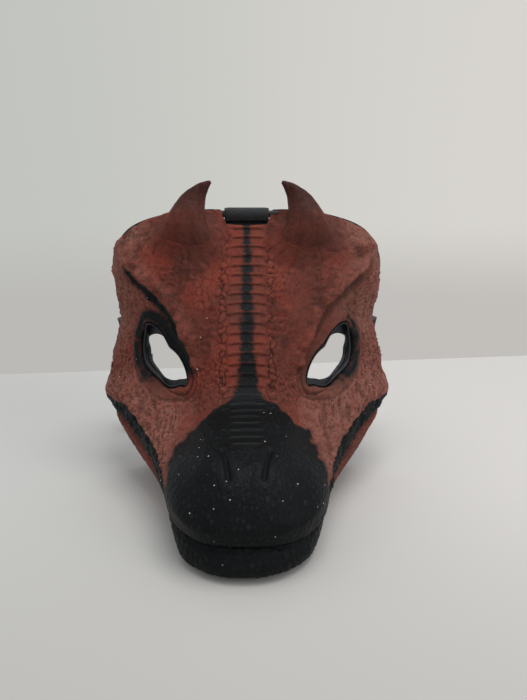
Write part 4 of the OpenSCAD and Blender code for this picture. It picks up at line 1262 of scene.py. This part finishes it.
LOOP_AT = (7.6, 5.8)
loop_base, loop_out = sheet_at(FACE_NET, *LOOP_AT, SHELL_WALL + 0.6)
loop_back = unit(np.array([-loop_out[1], loop_out[0], 0]))
loop_up = np.cross(loop_out, loop_back)
frame_set = [frame_screw(7.35, 4.2, 5.8), frame_screw(4.75, 2.1, 5.8), frame_screw(6.1, 1.9, 5.8)]
loop_set = [screw(loop_base - loop_back*4 - loop_out*2.25, -loop_out, 4.45)]
for name, body, parts in (
        ("frame_screws", "head", frame_set),
        ("horn_screws", "head", [frame_screw(7.38, 1.55, 12.6)]),
        ("chin_screws", "jaw", [chin_screw(3.45, 7.15), chin_screw(3.5, 7.85)]),
        ("loop_screws", "head", loop_set)):
    make_piece(name + "_heads", *gather(both_sides(parts)), steel, body, "steel", [name])

# %% [markdown]
# ## Teeth
# Two moulded rows stand behind the lips: pointed, slightly backward teeth in a strip of gum. The
# ivory is cast and the gum is painted on, so both are one piece here with the gum as a painted
# value. Each tooth is a stack of shrinking rings, so that one formula with a repeatable random
# length gives a whole row.

# %% Ivory and gum
def build_ivory(name):
    """Stained ivory, browner at the roots, and dark gum where it is painted."""
    material, tree, shader, place = new_material(name)
    stain = noise_node(tree, place, 260.0, 4.0, 0.6)
    tooth = mixed(tree, ranged(tree, stain, 0.35, 0.7), srgb(208, 194, 158), srgb(176, 152, 108))
    rooted = mixed(tree, painted(tree, "root"), tooth, srgb(112, 78, 46))
    gum = mixed(tree, stain, srgb(52, 26, 24), srgb(30, 17, 17))
    wire(tree, shader.inputs["Base Color"], mixed(tree, painted(tree, "gum"), rooted, gum))
    wire(tree, shader.inputs["Roughness"], ranged(tree, stain, 0.2, 0.8, 0.3, 0.5))
    bumped(tree, shader, noise_node(tree, place, 900.0, 3.0), 0.06, 0.5)
    return material


ivory = build_ivory("ivory_teeth")
print("ivory and gum share the material", ivory.name)

# %% One tooth
TOOTH_L = 9.0
TOOTH_R = 1.9
TOOTH_PITCH = 0.45


def tooth(root, out, down, seed):
    """A pointed tooth that curves backward. down is 1 for the upper row and -1 for the lower."""
    t = np.linspace(0, 1, 12)[:, None]
    length = TOOTH_L*(0.8 + 0.2*float(scatter(np.array([seed, 3.0, 1.0]), 5)))
    path = root + t*length*np.array([0, 0, -down]) - out*(0.7*t**2)
    radius = TOOTH_R*(1 - t**1.7)*(0.94 + 0.06*t) + 0.18
    turn = np.linspace(0, 2*np.pi, 14, endpoint=False)
    ring = np.stack([np.cos(turn), np.sin(turn), 0*turn], -1)
    return rings_to_mesh(path[:, None] + radius[:, None]*ring), np.repeat(1 - t[:, 0], 14)**3


print("teeth are up to", TOOTH_L, "mm long and", 2*TOOTH_R, "mm thick")

# %% A row of teeth in its gum
def tooth_row(name, net, rows, depths, root_row, root_depth, places, down, body, stands_for):
    """Gum between two rows and two depths of a net, and a tooth at each column in places."""
    gum_r, gum_c = np.meshgrid(np.linspace(*rows, 7), np.linspace(-5.4, 5.4, 217), indexing="ij")
    grid, out = sheet_at(net, gum_r, gum_c)
    lumps = 0.3*np.sin(gum_c*2*np.pi/TOOTH_PITCH)[..., None] + 0.2*noise(grid, 2.5, 95)[..., None]
    front = grid - out*(depths[0] + 0.3 + lumps*0.5)
    gum = thick_sheet(front, grid - out*(depths[1] + lumps*0.3), 1)
    parts = [gum]
    root = [np.zeros(len(gum[0]))]
    gums = [np.ones(len(gum[0]))]
    for k, place in enumerate(places):
        at, out = sheet_at(net, root_row, place, root_depth)
        mesh, fading = tooth(at + [0, 0, max(down, 0)], out, down, k)
        parts.append(mesh)
        root.append(fading)
        gums.append(0*fading)
    points, faces = gather(parts)
    make_piece(name, points, faces, ivory, body, "ivory", stands_for,
               root=np.concatenate(root), gum=np.concatenate(gums))

# %% The two rows
upper_places = np.arange(-11, 12)*TOOTH_PITCH
lower_places = (np.arange(-11, 11) + 0.5)*TOOTH_PITCH
tooth_row("upper_tooth_row", FACE_NET, (0.15, 0.65), (2.9, 8.4), 0.3, 6.4, upper_places, 1, "head",
          ["upper_teeth"])
tooth_row("lower_tooth_row", JAW_NET, (0.95, 1.45), (2.9, 14.5), 1.1, 12.6, lower_places, -1, "jaw",
          ["lower_teeth"])

# %% [markdown]
# ## Foam pads
# Each pad is a slice of closed-cell foam in knitted fabric: flat against the frame, crowned toward
# the face, pulled in by two sewn channels and bound round the edge with a piping. A cloth
# simulation would give the same crown at this size; a formula keeps the pads exactly on the frame.

# %% Knitted fabric
def build_knit(name, colour, light):
    """Knitted loops with fuzz, with painted shade between the loops, darker along the seams."""
    material, tree, shader, place = new_material(name)
    loops = add(tree, "TexVoronoi", {"feature": "F1"}, Vector=place, Scale=1100.0)
    fuzz = noise_node(tree, place, 2600.0, 2.0)
    clouds = use_group(tree, CLOUDY, Vector=place, Scale=60.0)
    # Loop middles lighter and the gaps between loops darker: painted shade on the knit.
    shade = mixed(tree, ranged(tree, loops.outputs["Distance"], 0.1, 0.7), light, colour)
    shade = mixed(tree, times(tree, clouds["Mask"], 0.3), shade, colour)
    wire(tree, shader.inputs["Base Color"], mixed(tree, painted(tree, "seam"), shade, srgb(14, 14, 15)))
    shader.inputs["Roughness"].default_value = 0.92
    shader.inputs["Sheen Weight"].default_value = 0.25
    loop_height = ranged(tree, loops.outputs["Distance"], 0.0, 0.7, 1.0, 0.0)
    bumped(tree, shader, calc(tree, "ADD", loop_height, times(tree, fuzz, 0.4)), 0.25, 0.7)
    return material


pad_fabric = build_knit("pad_fabric", srgb(50, 52, 56), srgb(92, 94, 98))
print("knit on the material", pad_fabric.name)

# %% A cushion's outline and its piping
def rounded_square(turn, k=1.0, power=5.0):
    """Points of a square with round corners; a higher power makes the corners sharper."""
    radius = k/(np.abs(np.cos(turn))**power + np.abs(np.sin(turn))**power)**(1/power)
    return radius*np.cos(turn), radius*np.sin(turn)


def cord(path, radius, sides=8):
    """A round cord round a closed path."""
    along = unit(np.roll(path, -1, 0) - np.roll(path, 1, 0))
    across = unit(np.cross(along, [0.13, 0.21, 0.97]))
    turn = np.linspace(0, 2*np.pi, sides, endpoint=False)[None, :, None]
    round_it = np.cos(turn)*across[:, None] + np.sin(turn)*np.cross(along, across)[:, None]
    return rings_to_mesh(path[:, None] + radius*round_it, close=True)


test_path = np.stack([30*v for v in (*rounded_square(around), 0*around)], -1)
print("a round test cord has", len(cord(test_path, 0.75)[1]), "faces")

# %% One cushion
PAD_FLAT = [(k, 0.0) for k in np.linspace(0.04, 0.95, 8)]
PAD_EDGE = [(0.985, 0.1), (1.0, 0.3), (1.0, 0.5), (0.985, 0.66), (0.95, 0.78)]
PAD_CROWN = [(k, 0.78 + 0.22*(1 - (k/0.95)**2)) for k in np.linspace(0.9, 0.03, 16)]
PIPING_R = 0.75


def make_pad(name, spot, thickness, width, body, stands_for, channels=(-0.36, 0.36)):
    """spot(u, v) gives the frame side's points and the way to the wearer, for u and v from -1 to 1."""
    turn = np.linspace(0, 2*np.pi, 120, endpoint=False)
    rings = []
    seams = []
    for k, rise in PAD_FLAT + PAD_EDGE + PAD_CROWN:
        u, v = rounded_square(turn, k)
        base, way = spot(u, v)
        in_channel = sum(groove(np.abs(u - at)*width/2, 2.2) for at in channels)*fade(rise, 0.6, 0.8)
        soft = 0.25*noise(base, 7, 97)*fade(rise, 0.3, 0.8)
        rings.append(base + way*(thickness*rise*(1 - 0.28*in_channel) + soft)[:, None])
        seams.append(0.8*groove(in_channel - 1, 0.35))
    base, way = spot(*rounded_square(turn, 1.01))
    piping = cord(base + way*thickness*0.4, PIPING_R)
    points, faces = gather([rings_to_mesh(rings), piping])
    piece = make_piece(name, points, faces, pad_fabric, body, "foam", stands_for, seam=np.ravel(seams))


print("a cushion has", len(PAD_FLAT + PAD_EDGE + PAD_CROWN), "rings")

# %% Where the pads sit
CHIN_MIDDLE = np.array([0, 18.2, 43.65])
CHIN_R = 37.6
CHIN_REACH = 34.8


def face_spot(r, half_r, c, half_c, side=1):
    """A place for a pad on the frame, round a row and column of the face."""
    def spot(u, v):
        base, out = sheet_at(FACE_NET, r + half_r*v, c + half_c*u, SCREW_DEPTH + 0.1)
        return base*[side, 1, 1], -out*[side, 1, 1]
    return spot


def chin_spot(u, v):
    """The place of the pad in the round chin cup."""
    x = 35*u
    y = -12.6 + 22.2*v
    held = np.minimum(1, CHIN_REACH/np.hypot(x, y))
    x = x*held
    y = y*held
    out = np.stack([x, y, -np.sqrt(CHIN_R**2 - x**2 - y**2)], -1)/CHIN_R
    return CHIN_MIDDLE + out*CHIN_R, -out


PAD_T = 6.7
CHIN_PAD_T = 5.8
FACE_PADS = (
    ("forehead_cushion", "forehead_pad", (6.725, 0.26, 0, 1.45), 68, (-0.36, 0.36)),
    ("nose_cushion", "nose_pad", (4.425, 0.165, 0, 1.4), 34, (0,)),
    ("temple_cushion_left", "temple_pad_left", (6.725, 0.21, 5.25, 0.6), 22, ()),
    ("temple_cushion_right", "temple_pad_right", (6.725, 0.21, 5.25, 0.6, -1), 22, ()))
for name, stands_for, where, width, channels in FACE_PADS:
    make_pad(name, face_spot(*where), PAD_T, width, "head", [stands_for], channels)
make_pad("chin_cushion", chin_spot, CHIN_PAD_T, 70, "jaw", ["chin_pad"])

# %% [markdown]
# ## Elastic bands
# Two tan elastic loops pull the jaw shut. They hang over a post on the shell and one on the jaw, so
# they stretch as the jaw opens. Here each band is one fixed piece that rides on no body.

# %% Elastic
def build_elastic(name):
    """Tan rubber and cotton, with painted shade in the hollows between its ribs."""
    material, tree, shader, place = new_material(name)
    ribs = calc(tree, "SINE", times(tree, painted(tree, "across"), 7.5))
    dirt = noise_node(tree, place, 300.0)
    tan = mixed(tree, dirt, srgb(190, 160, 112), srgb(158, 128, 84))
    # Darker between the ribs: painted shade.
    groove_shade = ranged(tree, ribs, -1, 0, 0.35, 0.0)
    wire(tree, shader.inputs["Base Color"], mixed(tree, groove_shade, tan, srgb(110, 84, 52)))
    shader.inputs["Roughness"].default_value = 0.68
    bumped(tree, shader, ribs, 0.12, 0.6)
    return material


elastic = build_elastic("tan_elastic")
print("ribbed tan on the material", elastic.name)

# %% The loops over their posts
UPPER_POST = np.array([75.0, 12.2, 64.0])
LOWER_POST = np.array([75.0, -3.8, 34.0])
BAND_R = 2.6
BAND_T = 1.2
BAND_W = 4.0
BAND_SECTION = [(-1, -0.6), (-0.85, -1), (0, -1), (0.85, -1), (1, -0.6),
                (1, 0.6), (0.85, 1), (0, 1), (-0.85, 1), (-1, 0.6)]
drop = unit(LOWER_POST - UPPER_POST)
beside = unit(np.cross([1.0, 0, 0], drop))
band_path = []
band_out = []
for post, next_post, start in ((UPPER_POST, LOWER_POST, np.pi), (LOWER_POST, UPPER_POST, 0)):
    for angle in np.linspace(start, start + np.pi, 17):
        out = beside*np.cos(angle) + drop*np.sin(angle)
        band_path.append(post + out*BAND_R)
        band_out.append(out)
    last = band_path[-1]
    for t in np.linspace(0, 1, 26)[1:-1]:
        band_path.append(last + (next_post - post)*t)
        band_out.append(out)
band_path = np.array(band_path)
band_out = np.array(band_out)
band_rings = np.stack([band_path + np.array([x*BAND_W/2, 0, 0]) + band_out*y*BAND_T/2
                       for x, y in BAND_SECTION], 1)
band_across = np.tile([x*BAND_W/2 for x, _ in BAND_SECTION], len(band_path))
for side, name in ((1, "left"), (-1, "right")):
    points, faces = rings_to_mesh(band_rings*[side, 1, 1], close=True)
    piece = make_piece("jaw_band_" + name, points, faces, elastic, None, "elastic",
                       ["jaw_elastic_" + name], across=band_across)
    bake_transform(piece)

# %% [markdown]
# ## Webbing straps
# The harness is plain-woven polyester webbing: ribbed, slightly thicker at its selvedges, and sewn
# to itself round each bar and to a patch at the back of the head with box stitches. The weave
# follows each strap because every point carries how far along and across the strap it lies; the
# stitches are small separate threads.

# %% Woven webbing
def build_webbing(name):
    """A plain weave: ribs across the strap, whose picks go over and under by turns, painted lighter where
    raised and darker between them as painted highlight and shade.
    """
    material, tree, shader, place = new_material(name)
    line = calc(tree, "DIVIDE", painted(tree, "across"), 1.3)
    odd = times(tree, calc(tree, "MODULO", calc(tree, "ABSOLUTE", calc(tree, "FLOOR", line)), 2.0), 0.5)
    pick = calc(tree, "FRACT", calc(tree, "ADD", calc(tree, "DIVIDE", painted(tree, "along"), 2.2), odd))
    rib = calc(tree, "SINE", times(tree, calc(tree, "FRACT", line), math.pi))
    float_up = calc(tree, "SINE", times(tree, pick, math.pi))
    weave = times(tree, rib, float_up)
    fuzz = noise_node(tree, place, 1800.0, 3.0)
    clouds = use_group(tree, CLOUDY, Vector=place, Scale=40.0)
    # Raised picks lighter and the gaps between them darker: painted highlight and painted shade on the
    # weave.
    shade = mixed(tree, ranged(tree, weave, 0.1, 0.9), srgb(13, 14, 15), srgb(40, 42, 45))
    shade = mixed(tree, times(tree, clouds["Mask"], 0.25), shade, srgb(52, 53, 55))
    wire(tree, shader.inputs["Base Color"], shade)
    shader.inputs["Roughness"].default_value = 0.8
    shader.inputs["Sheen Weight"].default_value = 0.15
    bumped(tree, shader, calc(tree, "ADD", weave, times(tree, fuzz, 0.25)), 0.35, 0.8)
    return material


def build_thread(name):
    """Twisted thread, a little lighter than the webbing."""
    material, tree, shader, place = new_material(name)
    twist = noise_node(tree, place, 3000.0, 2.0)
    wire(tree, shader.inputs["Base Color"], mixed(tree, twist, srgb(44, 46, 50), srgb(74, 76, 80)))
    shader.inputs["Roughness"].default_value = 0.6
    bumped(tree, shader, twist, 0.1, 0.6)
    return material


webbing = build_webbing("woven_webbing")
thread = build_thread("sewing_thread")
print("webbing and thread:", webbing.name, thread.name)

# %% A strap along a route
STRAP_T = 1.8


def rounded_route(points, rounds=3):
    """Cuts the corners of a route of points, keeping its ends."""
    points = np.asarray(points, float)
    for _ in range(rounds):
        near = 0.75*points[:-1] + 0.25*points[1:]
        far = 0.25*points[:-1] + 0.75*points[1:]
        between_ends = np.stack([near, far], 1).reshape(-1, points.shape[1])
        points = np.vstack([points[:1], between_ends, points[-1:]])
    return points


def path_length(points):
    """The length of a path so far, at each of its points."""
    return np.concatenate([[0], np.cumsum(np.linalg.norm(np.diff(points, axis=0), axis=1))])


def lay_strap(route, spacing=1.5):
    """Even places along a route of (point, across) pairs: point, across, up, and the length so far."""
    both = rounded_route([list(p) + list(a) for p, a in route])
    so_far = path_length(both[:, :3])
    s = np.linspace(0, so_far[-1], int(so_far[-1]/spacing) + 2)
    even = np.stack([np.interp(s, so_far, both[:, k]) for k in range(6)], -1)
    along = unit(np.gradient(even[:, :3], axis=0))
    across = unit(even[:, 3:] - along*np.sum(even[:, 3:]*along, -1, keepdims=True))
    return even[:, :3], across, np.cross(along, across), s


test_strap = lay_strap([((0, 0, 0), (1, 0, 0)), ((0, 30, 0), (1, 0, 0))])
print("a straight test strap of 30 mm has", len(test_strap[3]), "places along it")

# %% The section of a strap
def strap_rings(place, across, up, s, width):
    """The rings of a strap and the values its weave needs."""
    u = np.linspace(-1, 1, 15)
    half = STRAP_T/2*(1 - 0.5*np.abs(u)**14 + 0.06*np.abs(u)**4)
    u = np.concatenate([u, u[::-1]])
    rise = np.concatenate([half, -half[::-1]])
    rings = place[:, None] + across[:, None]*(u*width/2)[None, :, None] + up[:, None]*rise[None, :, None]
    return rings, dict(along=np.repeat(s, len(u)), across=np.tile(u*width/2, len(s)))


print("webbing is", STRAP_T, "mm thick")

# %% Stitches
THREAD_R = 0.3
STITCH_TIMES = np.array([0, 0.35, 1.1, 1.85, 2.2])
STITCH_LIFT = np.array([-0.25, 0.1, 0.2, 0.1, -0.25])
SEAM_MARGIN = 3


def read_along(s, values, at):
    """Values laid along a strap, read at other lengths."""
    return np.stack([np.interp(at, s, values[:, k]) for k in range(3)], -1)


def stitch_line(place, across, up, s, track, side, pitch=3.0):
    """Threads along a track of (length, sideways) corners on one face of a strap."""
    track = np.array(track, float)
    so_far = path_length(track)
    turn = np.linspace(0, 2*np.pi, 7)[:-1]
    meshes = []
    for start in np.arange(0.4, so_far[-1] - 1, pitch):
        t = np.interp(start + STITCH_TIMES, so_far, np.arange(len(track)))
        spots = np.stack([np.interp(t, np.arange(len(track)), track[:, k]) for k in (0, 1)], -1)
        at, w, n = (read_along(s, v, spots[:, 0]) for v in (place, across, up))
        middle = at + w*spots[:, 1:] + n*side*(STRAP_T/2 + STITCH_LIFT)[:, None]
        way = unit(middle[-1] - middle[0])
        sideways = np.cos(turn)[None, :, None]*np.cross(way, n[2])
        upward = np.sin(turn)[None, :, None]*n[:, None]
        meshes.append(rings_to_mesh(middle[:, None] + THREAD_R*(sideways + upward)))
    return meshes


def box_track(start, end, half_width):
    """The corners of a sewn box with a cross in it."""
    return [(start, -half_width), (end, -half_width), (end, half_width), (start, half_width),
            (start, -half_width), (end, half_width), (end, -half_width), (start, half_width)]


print("one sewn box of 16 by 26 mm has", len(box_track(8, 24, 13)) - 1, "seams")

# %% Webbing round a bar
def eyelet_rings(at, axis, toward, inside, width):
    """The turn of webbing round a bar."""
    turn = np.linspace(0, 2*np.pi, 61)[:-1]
    out = np.cos(turn)[:, None]*toward + np.sin(turn)[:, None]*np.cross(axis, toward)
    middle = at + out*(inside + STRAP_T/2)
    return strap_rings(middle, np.tile(axis, (60, 1)), out, turn*(inside + STRAP_T/2), width)


def joined(first, second):
    """A strap's rings and values and an eyelet's, as one mesh."""
    points, faces = gather([rings_to_mesh(first[0]), rings_to_mesh(second[0], close=True)])
    return points, faces, {key: np.concatenate([first[1][key], second[1][key]]) for key in first[1]}


BAR_HOLE = 2.8
LOOP_HOLE = 2.3
print("eyelets are", 2*BAR_HOLE, "and", 2*LOOP_HOLE, "mm inside")

# %% The top strap
BAR = np.array([0, 64.2 - MIDDLE_Y, 192.2])
PATCH_Y = 138 - MIDDLE_Y
SIDE_Z = 0.2 + 1.8 + 0.25 + STRAP_T/2
TOP_Z = SIDE_Z + STRAP_T + 0.25
TOP_STRAP_W = 32.0
x_axis = np.array([1.0, 0, 0])
y_top = 74 - MIDDLE_Y
top_start = BAR + [0, BAR_HOLE + STRAP_T/2, 0]
top_route = [(top_start, x_axis), (top_start + [0, 0.2, -5], x_axis), (top_start + [0, 2, -12], x_axis)]
top_route += [((0, y, z), x_axis) for y, z in (
    (y_top - 1, BAR[2] - 24), (y_top, 150), (y_top, 90), (y_top + 2, 60), (y_top + 6, 40), (y_top + 13, 24),
    (y_top + 23, 12.5), (y_top + 35, TOP_Z + 1.2), (y_top + 47, TOP_Z), (PATCH_Y + 14, TOP_Z))]
top_laid = lay_strap(top_route)
top_eyelet = eyelet_rings(BAR, x_axis, np.array([0, 1.0, 0]), BAR_HOLE, TOP_STRAP_W)
points, faces, woven = joined(strap_rings(*top_laid, TOP_STRAP_W), top_eyelet)
make_piece("top_strap", points, faces, webbing, "head", "webbing", ["strap_top"], **woven)
top_end = top_laid[3][-1]
half_box = TOP_STRAP_W/2 - SEAM_MARGIN
threads = stitch_line(*top_laid, box_track(8, 24, half_box), 1)
threads += stitch_line(*top_laid, box_track(8, 24, half_box), -1)
threads += stitch_line(*top_laid, box_track(top_end - 26, top_end - 3, half_box), 1)
make_piece("top_strap_stitches", *gather(threads), thread, "head", "webbing")

# %% The side straps
STRAP_W = 25.0
px = 102
py = PATCH_Y
pz = 66
loop_bar = loop_base - loop_out + loop_back*11
side_start = loop_bar - loop_out*(LOOP_HOLE + STRAP_T/2)
sx, sy, sz = side_start
side_route = [
    (side_start, loop_up), ((sx + 1, sy + 7, sz - 0.5), loop_up),
    ((sx + 2, sy + 15, sz - 3), (-0.5, 0, 0.87)),
    ((px, py - 8, sz - 9), (-0.94, 0.1, 0.34)), ((px, py - 2, sz - 18), (-1, 0, 0)),
    ((px, py, pz + 27), (-1, 0, 0)), ((px, py, pz - 24), (-1, 0, 0)), ((px, py, pz - 29), (-1, 0, 0)),
    ((px - 1, py, pz - 37), (-0.87, 0.5, 0)), ((px - 3, py, pz - 45), (-0.5, 0.87, 0)),
    ((px - 7, PATCH_Y, SIDE_Z + 12), (0, 1, 0)), ((px - 13, PATCH_Y, SIDE_Z + 5), (0, 1, 0)),
    ((px - 22, PATCH_Y, SIDE_Z + 1.3), (0, 1, 0)), ((px - 34, PATCH_Y, SIDE_Z), (0, 1, 0)),
    ((22, PATCH_Y, SIDE_Z), (0, 1, 0))]
side_laid = lay_strap(side_route)
side_eyelet = eyelet_rings(loop_bar, loop_up, -loop_out, LOOP_HOLE, STRAP_W)
side_points, faces, woven = joined(strap_rings(*side_laid, STRAP_W), side_eyelet)
side_box = box_track(5, 16, STRAP_W/2 - SEAM_MARGIN)
threads = stitch_line(*side_laid, side_box, 1) + stitch_line(*side_laid, side_box, -1)
thread_points, thread_faces = gather(threads)
for side, name in ((1, "left"), (-1, "right")):
    flip = [side, 1, 1]
    make_piece("side_strap_" + name, side_points*flip, faces, webbing, "head", "webbing",
               ["strap_" + name], **woven)
    make_piece(f"side_strap_{name}_stitches", thread_points*flip, thread_faces, thread, "head", "webbing")

# %% The patch at the back of the head
turn = np.linspace(0, 2*np.pi, 160, endpoint=False)
under_face = [(k, 0.2) for k in np.linspace(0.05, 0.97, 8)]
patch_edge = [(0.995, 0.5), (1.0, 1.1), (0.995, 1.7)]
upper_face = [(k, 2.0) for k in np.linspace(0.97, 0.05, 8)]
patch_rings = []
for k, z in under_face + patch_edge + upper_face:
    u, v = rounded_square(turn, k, 14.0)
    patch_rings.append(np.stack([30*u, PATCH_Y + 21*v, z + 0*u], -1))
points, faces = rings_to_mesh(patch_rings)
make_piece("back_patch", points, faces, webbing, "head", "webbing", ["strap_patch"],
           along=points[:, 0], across=points[:, 1])
middle_of_patch = np.array([[-30.0, PATCH_Y, 1.1], [30, PATCH_Y, 1.1]])
flat = (middle_of_patch, np.array([[0, 1.0, 0]]*2), np.array([[0, 0, 1.0]]*2), np.array([0.0, 60]))
patch_track = [(3, -18.5), (57, -18.5), (57, 18.5), (3, 18.5), (3, -18.5)]
edge_threads = stitch_line(*flat, patch_track, 1)
make_piece("patch_stitches", *gather(edge_threads), thread, "head", "webbing")

# %% [markdown]
# ## Camera, floor and light
# The mask stands on a white table against a pale wall, under one large soft light from above and a
# weaker one from the right. The floor is a real sheet so that it takes the shadows; the wall is
# only what the camera sees past it, which keeps the light on the mask apart from the colour behind
# it. An HDR picture of a room could light it too, but two lamps are easier to change and read
# nothing from disk.

# %% The floor
FLOOR_BACK = ((-3.0, -0.03), (3.0, 0.74))
floor_corners = [(-3, -4, 0), (3, -4, 0), (3, FLOOR_BACK[1][1], 0), (-3, FLOOR_BACK[0][1], 0)]
floor_mesh = bpy.data.meshes.new("floor")
floor_mesh.from_pydata(floor_corners, [], [(0, 1, 2, 3)])
floor = bpy.data.objects.new("floor", floor_mesh)
bpy.context.scene.collection.objects.link(floor)
floor_material, tree, shader, place = new_material("floor_white")
across = add(tree, "SeparateXYZ", Vector=place).outputs["X"]
# Painted light and shade on the floor: lighter to the right, darker from under the mask toward the front,
# lighter toward the back.
painted_light_to_right = mixed(tree, ranged(tree, across, -0.3, 0.3), srgb(200, 200, 195), srgb(215, 211, 206))
toward = add(tree, "SeparateXYZ", Vector=place).outputs["Y"]
painted_shade_in_front = mixed(tree, ranged(tree, toward, 0.0, -0.3, 0.0, 0.6), painted_light_to_right, srgb(166, 163, 158))
painted_floor_light_and_shade = mixed(tree, ranged(tree, toward, 0.1, 0.9, 0.0, 1.0), painted_shade_in_front, srgb(226, 223, 218))
wire(tree, shader.inputs["Base Color"], painted_floor_light_and_shade)
shader.inputs["Roughness"].default_value = 0.8
floor_mesh.materials.append(floor_material)
print("floor corners in metres:", floor_corners)

# %% The light all round, and the wall that the camera sees
world = bpy.data.worlds.new("studio")
bpy.context.scene.world = world
world.use_nodes = True
tree = world.node_tree
tree.nodes.clear()
path = tree.nodes.new("ShaderNodeLightPath")
seen = calc(tree, "MAXIMUM", path.outputs["Is Camera Ray"], path.outputs["Is Transmission Ray"])
light = add(tree, "Background", Color=srgb(236, 238, 242), Strength=0.72)
direction = add(tree, "SeparateXYZ", Vector=tree.nodes.new("ShaderNodeTexCoord").outputs["Generated"])
# The wall seen by the camera carries painted light and shade: lighter to the right and darker toward its
# foot.
to_side = ranged(tree, direction.outputs["X"], -0.45, 0.45)
side_wall = mixed(tree, to_side, srgb(194, 196, 191), srgb(215, 212, 207))
downward = ranged(tree, direction.outputs["Z"], 0.04, -0.12, 0.0, 0.7)
wall = add(tree, "Background", Color=mixed(tree, downward, side_wall, srgb(184, 181, 178)), Strength=1.0)
both = tree.nodes.new("ShaderNodeMixShader")
tree.links.new(seen, both.inputs[0])
tree.links.new(light.outputs[0], both.inputs[1])
tree.links.new(wall.outputs[0], both.inputs[2])
tree.links.new(both.outputs[0], tree.nodes.new("ShaderNodeOutputWorld").inputs[0])
print("world:", world.name, "with", len(tree.nodes), "nodes")

# %% Lamps


def add_lamp(name, place, target, size, watts, colour=(1, 1, 1)):
    """A square area lamp that points at a place."""
    lamp = bpy.data.objects.new(name, bpy.data.lights.new(name, "AREA"))
    lamp.data.size = size
    lamp.data.energy = watts
    lamp.data.color = colour
    lamp.location = place
    lamp.rotation_mode = "QUATERNION"
    lamp.rotation_quaternion = (Vector(target) - Vector(place)).to_track_quat("-Z", "Y")
    bpy.context.scene.collection.objects.link(lamp)
    return lamp


add_lamp("ceiling_softbox", (0.25, -0.25, 1.5), (0, 0, 0.08), 0.9, 10.0)
add_lamp("side_softbox", (1.2, -0.9, 0.9), (0, 0, 0.1), 0.8, 3.5)

# %% The camera
camera = bpy.data.objects.new("camera", bpy.data.cameras.new("camera"))
bpy.context.scene.collection.objects.link(camera)
bpy.context.scene.camera = camera
camera.location = (0.003, -0.3638, 0.175)
camera.rotation_euler = (math.radians(90 - 12), 0, math.radians(-1.34))
camera.data.sensor_width = 36
camera.data.lens = 27.05
camera.data.clip_start = 0.01
bpy.context.scene.view_settings.view_transform = "Standard"
print("camera at", [round(v, 3) for v in camera.location], "with a", round(camera.data.lens, 2), "mm lens")
